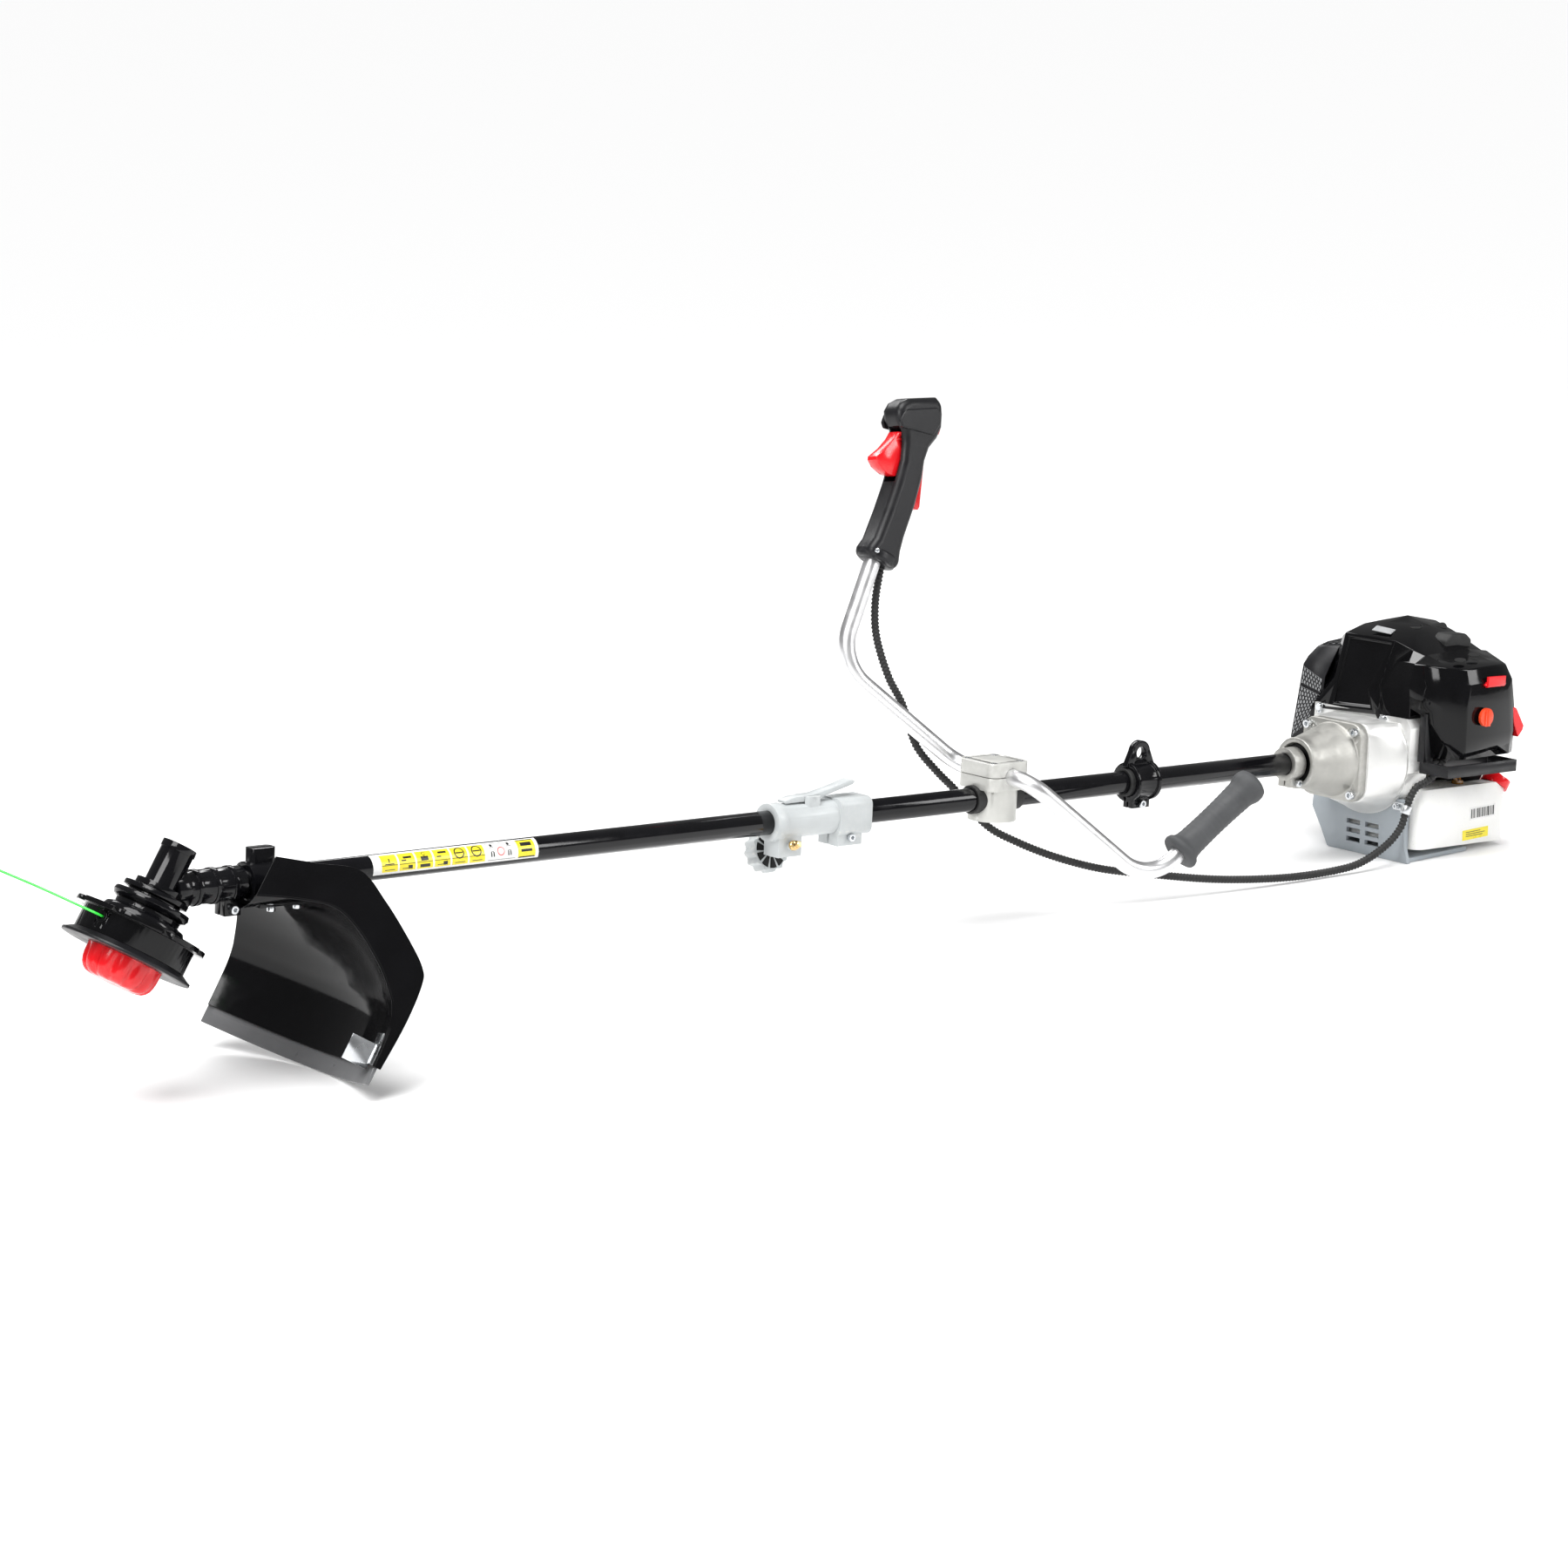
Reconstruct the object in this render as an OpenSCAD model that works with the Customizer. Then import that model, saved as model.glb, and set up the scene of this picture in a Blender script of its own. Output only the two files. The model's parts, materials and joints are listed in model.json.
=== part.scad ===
// Petrol string trimmer: split shaft, two-hand bar, bump-feed head.
// X runs along the floor towards the cutting head, Y to the operator's left, Z up.
// Everything but the stand is drawn in the shaft's own frame: X along the shaft from the
// front face of the fan housing, Z square to the shaft. at_shaft() lays it on the floor.

/* [Shaft] */
// Outer diameter of the shaft tube
tube_d = 26; // [25:0.5:28]
// Wall thickness of the shaft tube
tube_wall = 1.5; // [1:0.25:2]
// Diameter of the drive shaft
drive_d = 8; // [7:0.5:9]
// Slope of the shaft when the machine rests on its stand and guard, in degrees
shaft_slope = 3; // [2:0.25:4]
// Height of the shaft axis above the floor at the fan housing
shaft_height = 121; // [120:1:124]

/* [Cutting head] */
// Distance from the fan housing to the point where the head's axis crosses the shaft
head_x = 1680; // [1640:10:1720]
// Angle of the head's axis below the shaft
head_angle = 60; // [58:1:62]
// Diameter of the trimmer head
head_d = 133; // [126:1:140]

/* [Guard] */
// Radius of the guard's wall about the head's axis
guard_r = 260; // [256:1:264]
// Guard's reach towards the operator's right, in degrees
guard_right = 35; // [32:1:38]
// Guard's reach towards the operator's left, in degrees
guard_left = 30; // [28:1:32]

/* [Handlebar] */
// Outer diameter of the handlebar
bar_d = 19; // [19:0.5:20]
// Distance of the handlebar from the fan housing
bar_x = 604; // [590:2:620]
// Half of the bar's straight middle
bar_half = 58; // [56:1:62]
// Length of each arm between its bends
arm_length = 191; // [180:1:200]

/* [Engine] */
// Radius of the round lower part of the fan housing
fan_housing_r = 70; // [68:1:72]
// Distance between neighbouring clutch-case bolts
case_bolt_pitch = 75; // [74:1:76]
// Length of the fuel tank
tank_length = 160; // [150:2:164]

/* [Hidden] */
$fn = 48;

eps = 0.01;
running_gap = 0.05;
tube_r = tube_d / 2;
tube_bore_r = tube_r - tube_wall;
drive_r = drive_d / 2;
stand_centre = 52;

// Stations along the shaft
tube_start = 88;
coupler_start = 798;
coupler_end = 928;
tube_joint = 866;
tube_end = 1632;
bush_length = 20;
bush_stations = [150, 330, 500, 680, 990, 1170, 1350, 1540];

// Clutch
flange_front = 60;
flange_back = 48;
case_bolt_half = case_bolt_pitch / 2;
drum_r = 39;
mouth_x = 121.5;

// Bevel gears: the pitch cones roll on each other
pinion_teeth = 14;
gear_teeth = 18;
gear_cone = atan(sin(head_angle) / (pinion_teeth / gear_teeth + cos(head_angle)));
pinion_cone = head_angle - gear_cone;
cone_length = 22;
tooth_face = 10;
cone_relief = 0.1;

// Trimmer head, measured down its axis
head_r = head_d / 2;
holder_top = 1;
flange_s = 34;
drum_bottom = 62;
knob_r = 38;
knob_gap = 0.6;
knob_bottom = 97;
eyelet_angle = 162;
eyelet_s = 47;
head_drum_r = 57;

// Guard, measured in the head's frame
guard_t = 3;
wall_bottom = 60;
skirt_bottom = 78.2;

// Handlebar: both halves are the same bend, turned half a turn about the up-and-back axis
bar_z = 27;
bar_r = bar_d / 2;
bar_swing = 40;
bend_1 = 75;
grip_out = 59;
grip_twist = -76;
throttle_base = 120;
grip_base = 50;

function unit(v) = v / norm(v);
function swing_dir(a) = [cos(a), 0, sin(a)];
function arm_dir(side) =
    [0, side * cos(bend_1), 0] - side * sin(bend_1) * swing_dir(bar_swing);
function grip_dir(side) =
    cos(grip_twist) * (cos(grip_out) * [0, side, 0] - side * sin(grip_out) * swing_dir(bar_swing))
    - sin(grip_twist) * swing_dir(bar_swing + 90);
function bend_start(side) = [bar_x, side * bar_half, bar_z];
function bend_end(side) = bend_start(side) + arm_length * arm_dir(side);

// ---------------------------------------------------------------- frames and shapes

module at_shaft() {
    translate([stand_centre, 0, shaft_height]) rotate([0, -shaft_slope, 0]) children();
}

// Local Z points down the head's axis, local X back towards the operator
module at_head() {
    at_shaft() translate([head_x, 0, 0]) rotate([0, 90 + head_angle, 0]) children();
}

// Local Z along a direction, local X as near as it can be to the cutting head
module along(origin, dir) {
    z = unit(dir);
    x = unit([1, 0, 0] - z[0] * z);
    y = cross(z, x);
    at_shaft() multmatrix([
        [x[0], y[0], z[0], origin[0]],
        [x[1], y[1], z[1], origin[1]],
        [x[2], y[2], z[2], origin[2]],
        [0, 0, 0, 1]]) children();
}

module rod_x(x, length, r) {
    translate([x, 0, 0]) rotate([0, 90, 0]) cylinder(h = length, r = r);
}

module ring_x(x, length, r, bore) {
    difference() {
        rod_x(x, length, r);
        rod_x(x - 1, length + 2, bore);
    }
}

module rod_y(y, length, r) {
    translate([0, y + length, 0]) rotate([90, 0, 0]) cylinder(h = length, r = r);
}

module ring(z, length, r, bore) {
    translate([0, 0, z]) difference() {
        cylinder(h = length, r = r);
        translate([0, 0, -1]) cylinder(h = length + 2, r = bore);
    }
}

// Flat outline (Y, Z) given thickness along X, and outline (X, Z) given thickness along Y
module slab_x(x, length) {
    translate([x, 0, 0]) rotate([90, 0, 90]) linear_extrude(length) children();
}

module slab_y(y, length) {
    translate([0, y + length, 0]) rotate([90, 0, 0]) linear_extrude(length) children();
}

module rounded(w, h, r) {
    square([w - 2 * r, h], center = true);
    square([w, h - 2 * r], center = true);
    for (sx = [-1, 1], sy = [-1, 1])
        translate([sx * (w / 2 - r), sy * (h / 2 - r)]) circle(r);
}

module rounded_block(x0, x1, y0, y1, z0, z1, r) {
    translate([(x0 + x1) / 2, (y0 + y1) / 2, z0]) linear_extrude(z1 - z0)
        rounded(x1 - x0, y1 - y0, r);
}

module block(x0, x1, y0, y1, z0, z1) {
    translate([x0, y0, z0]) cube([x1 - x0, y1 - y0, z1 - z0]);
}

// Socket-head screw: shank from the origin down to -length, head above
module screw(length, d) {
    translate([0, 0, -length]) cylinder(h = length, r = d / 2);
    difference() {
        cylinder(h = d, r = 0.85 * d);
        translate([0, 0, 0.4 * d]) cylinder(h = d, r = 0.45 * d, $fn = 6);
    }
}

module screw_hole(length, d) {
    translate([0, 0, -length]) cylinder(h = length + eps, r = d / 2);
}

// ---------------------------------------------------------------- swept tubes

// Points of a round bend that replaces corner b of the line a-b-c
function bend(a, b, c, r, n) =
    let (u = unit(a - b), v = unit(c - b), half = acos(u * v) / 2)
    let (m = b + unit(u + v) * r / sin(half), turn = 180 - 2 * half)
    let (e1 = unit(b - m), e2 = unit(v - u))
    [for (i = [0:n]) let (t = turn * (i / n - 0.5)) m + r * (e1 * cos(t) + e2 * sin(t))];

// A smooth curve through a list of points, n steps between neighbours
function smooth(p, n) = [
    for (i = [0:len(p) - 2])
        let (a = p[max(i - 1, 0)], b = p[i], c = p[i + 1], d = p[min(i + 2, len(p) - 1)])
        for (k = [0:n - 1]) let (t = k / n)
            b + t / 2 * (c - a) + t * t / 2 * (2 * a - 5 * b + 4 * c - d)
            + t * t * t / 2 * (3 * b - a - 3 * c + d),
    p[len(p) - 1]];

function tangent(p, i) = unit(p[min(i + 1, len(p) - 1)] - p[max(i - 1, 0)]);

// Side vectors carried along the path without twist
function frames(p, i = 0, side = undef, out = []) =
    i == len(p) ? out :
    let (t = tangent(p, i))
    let (s = is_undef(side) ? (abs(t[2]) < 0.9 ? [0, 0, 1] : [0, 1, 0]) : side)
    let (a = unit(s - (s * t) * t))
    frames(p, i + 1, a, concat(out, [[a, cross(t, a)]]));

module sweep(path, r, sides = 12) {
    f = frames(path);
    n = len(path);
    points = [for (i = [0:n - 1]) for (k = [0:sides - 1]) let (a = 360 * k / sides)
        path[i] + r * (cos(a) * f[i][0] + sin(a) * f[i][1])];
    sheets = [for (i = [0:n - 2]) for (k = [0:sides - 1]) let (l = (k + 1) % sides)
        [i * sides + k, (i + 1) * sides + k, (i + 1) * sides + l, i * sides + l]];
    caps = [
        [for (k = [0:sides - 1]) k],
        [for (k = [sides - 1:-1:0]) (n - 1) * sides + k]];
    polyhedron(points, concat(sheets, caps), convexity = 10);
}

// ---------------------------------------------------------------- shaft and its coupler

module rear_tube() {
    color("#101012") at_shaft() ring_x(tube_start, tube_joint - tube_start, tube_r, tube_bore_r);
}

module front_tube() {
    color("#101012") at_shaft() ring_x(tube_joint, tube_end - tube_joint, tube_r, tube_bore_r);
}

socket_r = 7;

// Two lengths of shaft with a square-drive socket where the tubes part
module drive_shafts() {
    color("silver") at_shaft() {
        rod_x(66, tube_joint - 70, drive_r);
        rod_x(tube_joint - 4 + running_gap, 1654 - tube_joint + 4, drive_r);
        ring_x(tube_joint - 16, 36, socket_r, drive_r);
    }
}

module drive_pinion() {
    x0 = head_x - cone_length * cos(pinion_cone);
    x1 = head_x - (cone_length - tooth_face) * cos(pinion_cone);
    r0 = cone_length * sin(pinion_cone) - cone_relief;
    r1 = (cone_length - tooth_face) * sin(pinion_cone) - cone_relief;
    color("dimgray") at_shaft() difference() {
        union() {
            translate([x0, 0, 0]) rotate([0, 90, 0]) cylinder(h = x1 - x0, r1 = r0, r2 = r1);
            rod_x(1645, x0 - 1645, 6);
        }
        rod_x(1640, 14 + running_gap, drive_r);
    }
}

gear_back = cone_length * cos(gear_cone);

// Bushes in the tube, ball bearings in the gear case and the clutch case
module bearings() {
    color("darkgoldenrod") {
        at_shaft() {
            for (x = bush_stations) ring_x(x, bush_length, tube_bore_r, drive_r + running_gap);
            ring_x(1634, 9, tube_r, drive_r + running_gap);
            ring_x(flange_front + 2, 9, 16, 8 + running_gap);
            for (x = [-100, -46]) ring_x(x, 10, 16, 6 + running_gap);
        }
        at_head() {
            ring(-gear_back - 12, 8, 13, 5 + running_gap);
            ring(-5.5, 5.5, 8.8, 5 + running_gap);
        }
    }
}

coupler_r = 19;
lug_z = -22;
lever_x = 873;
lever_z = 21.5;
knob_tilt = 17;
knob_x = 905;

module knob_axis() {
    at_shaft() translate([knob_x, 0, -29]) rotate([90 + knob_tilt, 0, 0]) children();
}

module coupler_body() {
    color("#b9bcbc") difference() {
        union() {
            at_shaft() {
                rod_x(coupler_start + 40, coupler_end - coupler_start - 40, coupler_r);
                rod_x(coupler_end - 14, 14, coupler_r + 1.5);
                slab_x(coupler_start, 44) rounded(2 * coupler_r + 3, 2 * coupler_r + 3, 9);
                block(coupler_start + 10, coupler_start + 44, -16, 16, lug_z - 9, 0);
                block(knob_x - 16, knob_x + 16, -12, 12, lug_z - 15, 0);
                rounded_block(lever_x - 10, lever_x + 10, -12, 12, 0, lever_z + 4, 4);
            }
        }
        at_shaft() rod_x(coupler_start - 1, coupler_end - coupler_start + 2, tube_r);
        at_shaft() block(coupler_start - 1, coupler_start + 45, -1.5, 1.5, lug_z - 10, 0);
        at_shaft() translate([coupler_start + 27, 0, lug_z]) rod_y(-30, 60, 2.5);
        knob_axis() cylinder(h = 100, r = 4 + running_gap, center = true);
        at_shaft() block(lever_x - 11, lever_x + 11, -7.4, 7.4, 15.5, 40);
        at_shaft() translate([lever_x, 0, lever_z]) rod_y(-20, 40, 2 + running_gap);
    }
}

// Release lever: pressing its tip turns it on the cross pin and frees the front shaft
module coupler_lever() {
    color("#b9bcbc") at_shaft() translate([lever_x, 0, lever_z]) {
        rod_y(-11.8, 23.6, 2);
        slab_y(-7, 14) polygon([
            [36, -1.5], [36, 1], [24, 4], [0, 4.5], [-24, 9], [-56, 17], [-60, 15], [-57, 12],
            [-24, 4], [-5, 0], [-3, -3.5], [3, -3.5], [6, -1.5]]);
    }
}

// Ribbed clamp knob on its brass-ended bolt
module coupler_knob() {
    color("#c4c6c6") knob_axis() {
        translate([0, 0, -20]) cylinder(h = 42, r = 4);
        difference() {
            translate([0, 0, 20.5]) linear_extrude(17) polygon([for (a = [0:5:355])
                (22 + 1.5 * cos(12 * a)) * [cos(a), sin(a)]]);
            translate([0, 0, 26]) cylinder(h = 12, r = 18);
        }
        for (a = [0:60:300]) rotate([0, 0, a]) translate([5, -1, 24]) cube([15, 2, 11]);
        translate([0, 0, 23]) cylinder(h = 14, r = 7);
    }
}

// ---------------------------------------------------------------- gear case and head

module gear_case() {
    color("#151517") difference() {
        union() {
            at_shaft() {
                rod_x(1588, 78, 17);
                for (x = [1598, 1618, 1638]) rod_x(x, 5, 18);
                rod_x(1652, 14, 19);
                block(1592, 1610, -9, 9, -30, 0);
            }
            at_head() {
                translate([0, 0, -46]) cylinder(h = 46, r = 16.5);
                translate([0, 0, -49]) cylinder(h = 7, r = 17.5);
                translate([0, 0, -6]) cylinder(h = 6, r = 24);
            }
        }
        at_shaft() rod_x(1580, 63, tube_r);
        at_shaft() rod_x(1642, 16, 9);
        at_shaft() translate([1657.5, 0, 0]) rotate([0, 90, 0]) cylinder(h = 14, r = 11);
        at_shaft() block(1591, 1611, -1, 1, -31, 0);
        at_shaft() translate([1601, 0, -23.5]) rod_y(-20, 40, 2.5);
        at_head() translate([0, 0, -gear_back - 12]) cylinder(h = 8, r = 13);
        at_head() translate([0, 0, -gear_back - 5]) cylinder(h = gear_back - 2, r = 13);
        at_head() translate([0, 0, -5.5]) cylinder(h = 7, r = 8.8);
        at_head() translate([0, 0, -8]) cylinder(h = 4, r = 6.5);
        at_head() cylinder(h = 40, r = 45);
    }
}

module output_gear() {
    r0 = cone_length * sin(gear_cone) - cone_relief;
    r1 = (cone_length - tooth_face) * sin(gear_cone) - cone_relief;
    color("dimgray") at_head() {
        translate([0, 0, -gear_back])
            cylinder(h = tooth_face * cos(gear_cone), r1 = r0, r2 = r1);
        translate([0, 0, -gear_back - 11.5]) cylinder(h = 12, r = 5);
        translate([0, 0, -gear_back + tooth_face * cos(gear_cone)])
            cylinder(h = gear_back - tooth_face * cos(gear_cone) + 56, r = 5);
    }
}

// Stepped dust collars between the gear case and the trimmer head
module blade_holder() {
    color("#0c0c0d") at_head() rotate_extrude() polygon([
        [5, holder_top], [33, holder_top], [33, 6], [27, 7], [27, 9], [38, 10], [39, 14],
        [37, 18], [33, 20], [33, 24], [40, 27], [42, 31], [42, flange_s], [5, flange_s]]);
}

module head_housing() {
    color("#121213") at_head() difference() {
        union() {
            translate([0, 0, flange_s]) cylinder(h = 5, r = head_r);
            translate([0, 0, flange_s]) cylinder(h = drum_bottom - flange_s, r = head_drum_r);
            rotate([0, 0, eyelet_angle]) translate([head_drum_r - 4, 0, eyelet_s])
                rotate([0, 90, 0]) cylinder(h = 6, r = 6);
        }
        translate([0, 0, flange_s + 4]) cylinder(h = drum_bottom, r = head_drum_r - 3);
        translate([0, 0, flange_s - 1]) cylinder(h = 10, r = 5);
        rotate([0, 0, eyelet_angle]) translate([40, 0, eyelet_s])
            rotate([0, 90, 0]) cylinder(h = 30, r = 2.5);
        for (a = [0:45:315]) rotate([0, 0, a + 10]) translate([head_r + 3, 0, flange_s - 1])
            cylinder(h = 7, r = 7);
    }
}

module head_disc() {
    color("#232425") at_head() difference() {
        union() {
            translate([0, 0, drum_bottom + 5]) cylinder(h = 3, r = head_r);
            translate([0, 0, drum_bottom]) cylinder(h = 5, r1 = head_drum_r, r2 = head_r - 1);
        }
        translate([0, 0, drum_bottom - 1]) cylinder(h = 12, r = knob_r + knob_gap);
    }
}

spool_top = 47;
knob_top = 66;

module line_spool() {
    color("#2a2a2c") at_head() difference() {
        union() {
            ring(spool_top, 2, 36, 5 + running_gap);
            ring(spool_top + 2, 14, 17, 5 + running_gap);
            ring(spool_top + 16, 3, 36, 5 + running_gap);
        }
        translate([0, 0, spool_top + 12]) cylinder(h = 8, r = 8);
    }
}

// Ribbed knob that is tapped on the ground to feed line
module tap_knob() {
    lobes = 12;
    color("#d01a1e") at_head() difference() {
        union() {
            translate([0, 0, knob_top]) cylinder(h = 14, r = knob_r);
            translate([0, 0, knob_top + 14]) cylinder(h = 10, r1 = knob_r, r2 = knob_r - 3);
            translate([0, 0, knob_top + 24])
                cylinder(h = knob_bottom - knob_top - 24, r1 = knob_r - 3, r2 = knob_r - 9);
        }
        translate([0, 0, knob_top - 1]) cylinder(h = 12, r = 9);
        for (i = [0:lobes - 1]) rotate([0, 0, i * 360 / lobes])
            translate([knob_r + 4.5, 0, knob_top + 8]) cylinder(h = 40, r = 6.5);
    }
}

// Cutting line: out of the eyelet, then trailing behind the turning head
line_route = [
    [46, 0, eyelet_s], [54, 0, eyelet_s], [61, 1, eyelet_s], [66, 8, eyelet_s],
    [72, 22, eyelet_s], [88, 62, eyelet_s], [104, 100, eyelet_s + 1], [114, 130, eyelet_s + 1]];

module cutting_line() {
    color("#35d83a") at_head() rotate([0, 0, eyelet_angle])
        sweep(smooth(line_route, 4), 1.2, 8);
}

// ---------------------------------------------------------------- guard

bracket_x = 1545;

module guard_bracket() {
    color("#131314") at_shaft() difference() {
        union() {
            ring_x(bracket_x, 38, 20, tube_r);
            slab_x(bracket_x - 20, 58) translate([0, -17.5]) rounded(58, 8, 3);
            block(bracket_x, bracket_x + 38, -24, 24, -21.5, -12);
            rounded_block(bracket_x + 6, bracket_x + 34, -8, 8, 14, 33, 5);
        }
        rod_x(bracket_x - 30, 90, tube_r);
        for (y = [-21, 21]) translate([bracket_x - 10, y, -30]) cylinder(h = 12, r = 2.5);
        for (y = [-21, 21]) translate([bracket_x + 20, y, -30]) cylinder(h = 20, r = 2.5);
    }
}

// One profile of the shell at the guard's middle: roof, fold and wall (radius, drop)
guard_profile = [
    [86, -24], [125, -46], [160, -60], [190, -52], [222, -32], [242, -13], [252, 0], [258, 20],
    [guard_r, wall_bottom]];

// Rise of the roof at the ends of the guard
guard_rise = [18, 10, 3, 1, 0, 0, 0, 0, 0];

// The lip that stands out along the left edge
guard_lip = [
    [86, -80], [125, -92], [165, -104], [200, -88], [236, -65], [260, -46], [267, -30],
    [269, 10], [266, wall_bottom]];
lip_turn = 0.7;

function guard_point(i, a, inset) =
    let (p = guard_profile[i], f = 1 - i / (len(guard_profile) - 1))
    let (r = p[0] - inset * (1 - 0.5 * f), s = p[1] - guard_rise[i] * pow(a / 32, 2) + inset * f)
    [r * cos(a), r * sin(a), s];

function lip_point(p, a) = [p[0] * cos(a), p[0] * sin(a), p[1]];

guard_steps = 16;

module guard_shell() {
    m = len(guard_profile);
    angles = [for (k = [0:guard_steps]) -guard_right + k * (guard_right + guard_left) / guard_steps];
    outer = [for (a = angles) for (i = [0:m - 1]) guard_point(i, a, 0)];
    inner = [for (a = angles) for (i = [0:m - 1]) guard_point(i, a, guard_t)];
    o = len(outer);
    faces = concat(
        [for (k = [0:guard_steps - 1]) for (i = [0:m - 2])
            [k * m + i, k * m + i + 1, (k + 1) * m + i + 1, (k + 1) * m + i]],
        [for (k = [0:guard_steps - 1]) for (i = [0:m - 2])
            [o + (k + 1) * m + i, o + (k + 1) * m + i + 1, o + k * m + i + 1, o + k * m + i]],
        [for (k = [0:guard_steps - 1])
            [k * m, (k + 1) * m, o + (k + 1) * m, o + k * m]],
        [for (k = [0:guard_steps - 1])
            [(k + 1) * m + m - 1, k * m + m - 1, o + k * m + m - 1, o + (k + 1) * m + m - 1]],
        [for (i = [0:m - 2]) [i + 1, i, o + i, o + i + 1]],
        [for (i = [0:m - 2]) let (e = guard_steps * m) [e + i, e + i + 1, o + e + i + 1, o + e + i]]);
    color("#0e0e10") difference() {
        at_head() {
            polyhedron(concat(outer, inner), faces, convexity = 10);
            guard_lip();
        }
        at_shaft() block(bracket_x - 20.4, bracket_x + 38.4, -29.4, 29.4, -21.7, 20);
        at_shaft() rod_x(1580, 90, 19.5);
        at_shaft() block(1590, 1612, -10, 10, -31, 0);
        at_head() rotate([0, 0, cutter_angle])
            block(guard_r - 31, guard_r - guard_t + 0.1, -14.3, 10.3, wall_bottom - 35, wall_bottom + 5);
    }
}

// Quads between two rows of n points that start at p and q
function quads(p, q, n) = [for (i = [0:n - 2]) [q + i, q + i + 1, p + i + 1, p + i]];

module guard_lip() {
    m = len(guard_lip);
    a = guard_left + 0.05;
    foot = [for (i = [0:m - 1]) guard_point(i, a, 1)];
    foot_back = [for (i = [0:m - 1]) guard_point(i, a - lip_turn, 1)];
    rim = [for (p = guard_lip) lip_point(p, a)];
    rim_back = [for (p = guard_lip) lip_point(p, a - lip_turn)];
    sides = concat(quads(0, 2 * m, m), quads(2 * m, 3 * m, m), quads(3 * m, m, m), quads(m, 0, m));
    ends = [[0, m, 3 * m, 2 * m], [3 * m - 1, 4 * m - 1, 2 * m - 1, m - 1]];
    polyhedron(concat(foot, foot_back, rim, rim_back), concat(sides, ends), convexity = 10);
}

module guard_skirt() {
    span = guard_right + guard_left - 0.9;
    color("#4a4c4e") at_head() rotate([0, 0, -guard_right]) rotate_extrude(angle = span)
        translate([guard_r, wall_bottom - 18]) square([3, skirt_bottom - wall_bottom + 18]);
}

cutter_angle = 25;

// Steel blade on the end of the guard that trims the line
module line_cutter() {
    color("silver") at_head() rotate([0, 0, cutter_angle]) {
        block(guard_r - 30, guard_r - guard_t - 0.2, -1, 1, wall_bottom - 22, wall_bottom + 4);
        block(guard_r - guard_t - 2, guard_r - guard_t, -14, 10, wall_bottom - 34, wall_bottom - 2);
    }
}

// ---------------------------------------------------------------- handlebar

clamp_bolt_x = 20;
clamp_bolt_y = 21;
sleeve_r = 16;
clamp_low = -24;
clamp_top = 43;

module clamp_bolts() {
    for (sx = [-1, 1], sy = [-1, 1])
        translate([bar_x + sx * clamp_bolt_x, sy * clamp_bolt_y, clamp_top - 5]) children();
}

module handle_clamp_base() {
    color("#c9cac8") at_shaft() difference() {
        union() {
            rounded_block(bar_x - 29, bar_x + 29, -30, 30, 12, bar_z - 0.4, 12);
            translate([bar_x, 0, clamp_low]) cylinder(h = 40, r = 27);
        }
        rod_x(bar_x - 40, 80, sleeve_r);
        translate([bar_x, 0, bar_z]) rod_y(-40, 80, bar_r);
        clamp_bolts() screw_hole(30, 5);
    }
}

module handle_clamp_cap() {
    color("#c9cac8") at_shaft() difference() {
        rounded_block(bar_x - 29, bar_x + 29, -30, 30, bar_z + 0.4, clamp_top, 12);
        translate([bar_x, 0, bar_z]) rod_y(-40, 80, bar_r);
        clamp_bolts() screw_hole(30, 5);
        clamp_bolts() cylinder(h = 10, r = 4.6);
    }
}

hook_x = 380;
hook_eye_z = 33;
hook_eye_r = 7;

// Rubber sleeves under the handle clamp and under the harness ring
module rubber_sleeves() {
    color("#1a1a1a") at_shaft() {
        ring_x(bar_x - 34, 68, sleeve_r, tube_r);
        ring_x(hook_x - 24, 48, sleeve_r, tube_r);
    }
}

function half_bar(side, length) =
    let (a = bend_start(side), b = bend_end(side), c = b + length * grip_dir(side))
    concat(
        bend([bar_x, 0, bar_z], a, b, 34, 8),
        bend(a, b, c, 52, 10),
        [c]);

function reversed(p) = [for (i = [len(p) - 1:-1:0]) p[i]];

module handlebar() {
    path = concat(reversed(half_bar(-1, throttle_base + 70)), half_bar(1, grip_base + 110));
    color("#cfd2d4") at_shaft() sweep(path, bar_r, 24);
}

module plain_grip() {
    color("#2c2e30") along(bend_end(1), grip_dir(1)) difference() {
        rotate_extrude() polygon([
            [0, grip_base], [19, grip_base], [22, grip_base + 4], [21, grip_base + 9],
            [16.5, grip_base + 18], [15.5, grip_base + 45], [16.5, grip_base + 80],
            [17.5, grip_base + 102], [20, grip_base + 112], [19, grip_base + 121],
            [15, grip_base + 126], [0, grip_base + 126]]);
        translate([0, 0, grip_base - 1]) cylinder(h = 112, r = bar_r + eps);
        for (i = [0:4]) translate([20, 0, grip_base + 38 + i * 13])
            rotate([90, 0, 0]) cylinder(h = 40, r = 5.5, center = true);
    }
}

// ---------------------------------------------------------------- throttle handle

trigger_pin = [20, throttle_base + 143];
lockout_pin = [-10, throttle_base + 128];

module at_throttle() {
    along(bend_end(-1), grip_dir(-1)) children();
}

// Side outline of the handle (towards the head, along the grip)
module throttle_outline() {
    translate([0, throttle_base]) polygon([
        [-27, 0], [20, 0], [21, 12], [15, 26], [13.5, 60], [13.5, 92], [16, 118], [22, 138],
        [28, 150], [40, 157], [44, 167], [42, 176], [34, 185], [-2, 204], [-12, 202], [-23, 176],
        [-21, 162], [-14.5, 146], [-15, 130], [-20, 112], [-22.5, 80], [-22.5, 40], [-24, 28],
        [-28, 12]]);
}

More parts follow.
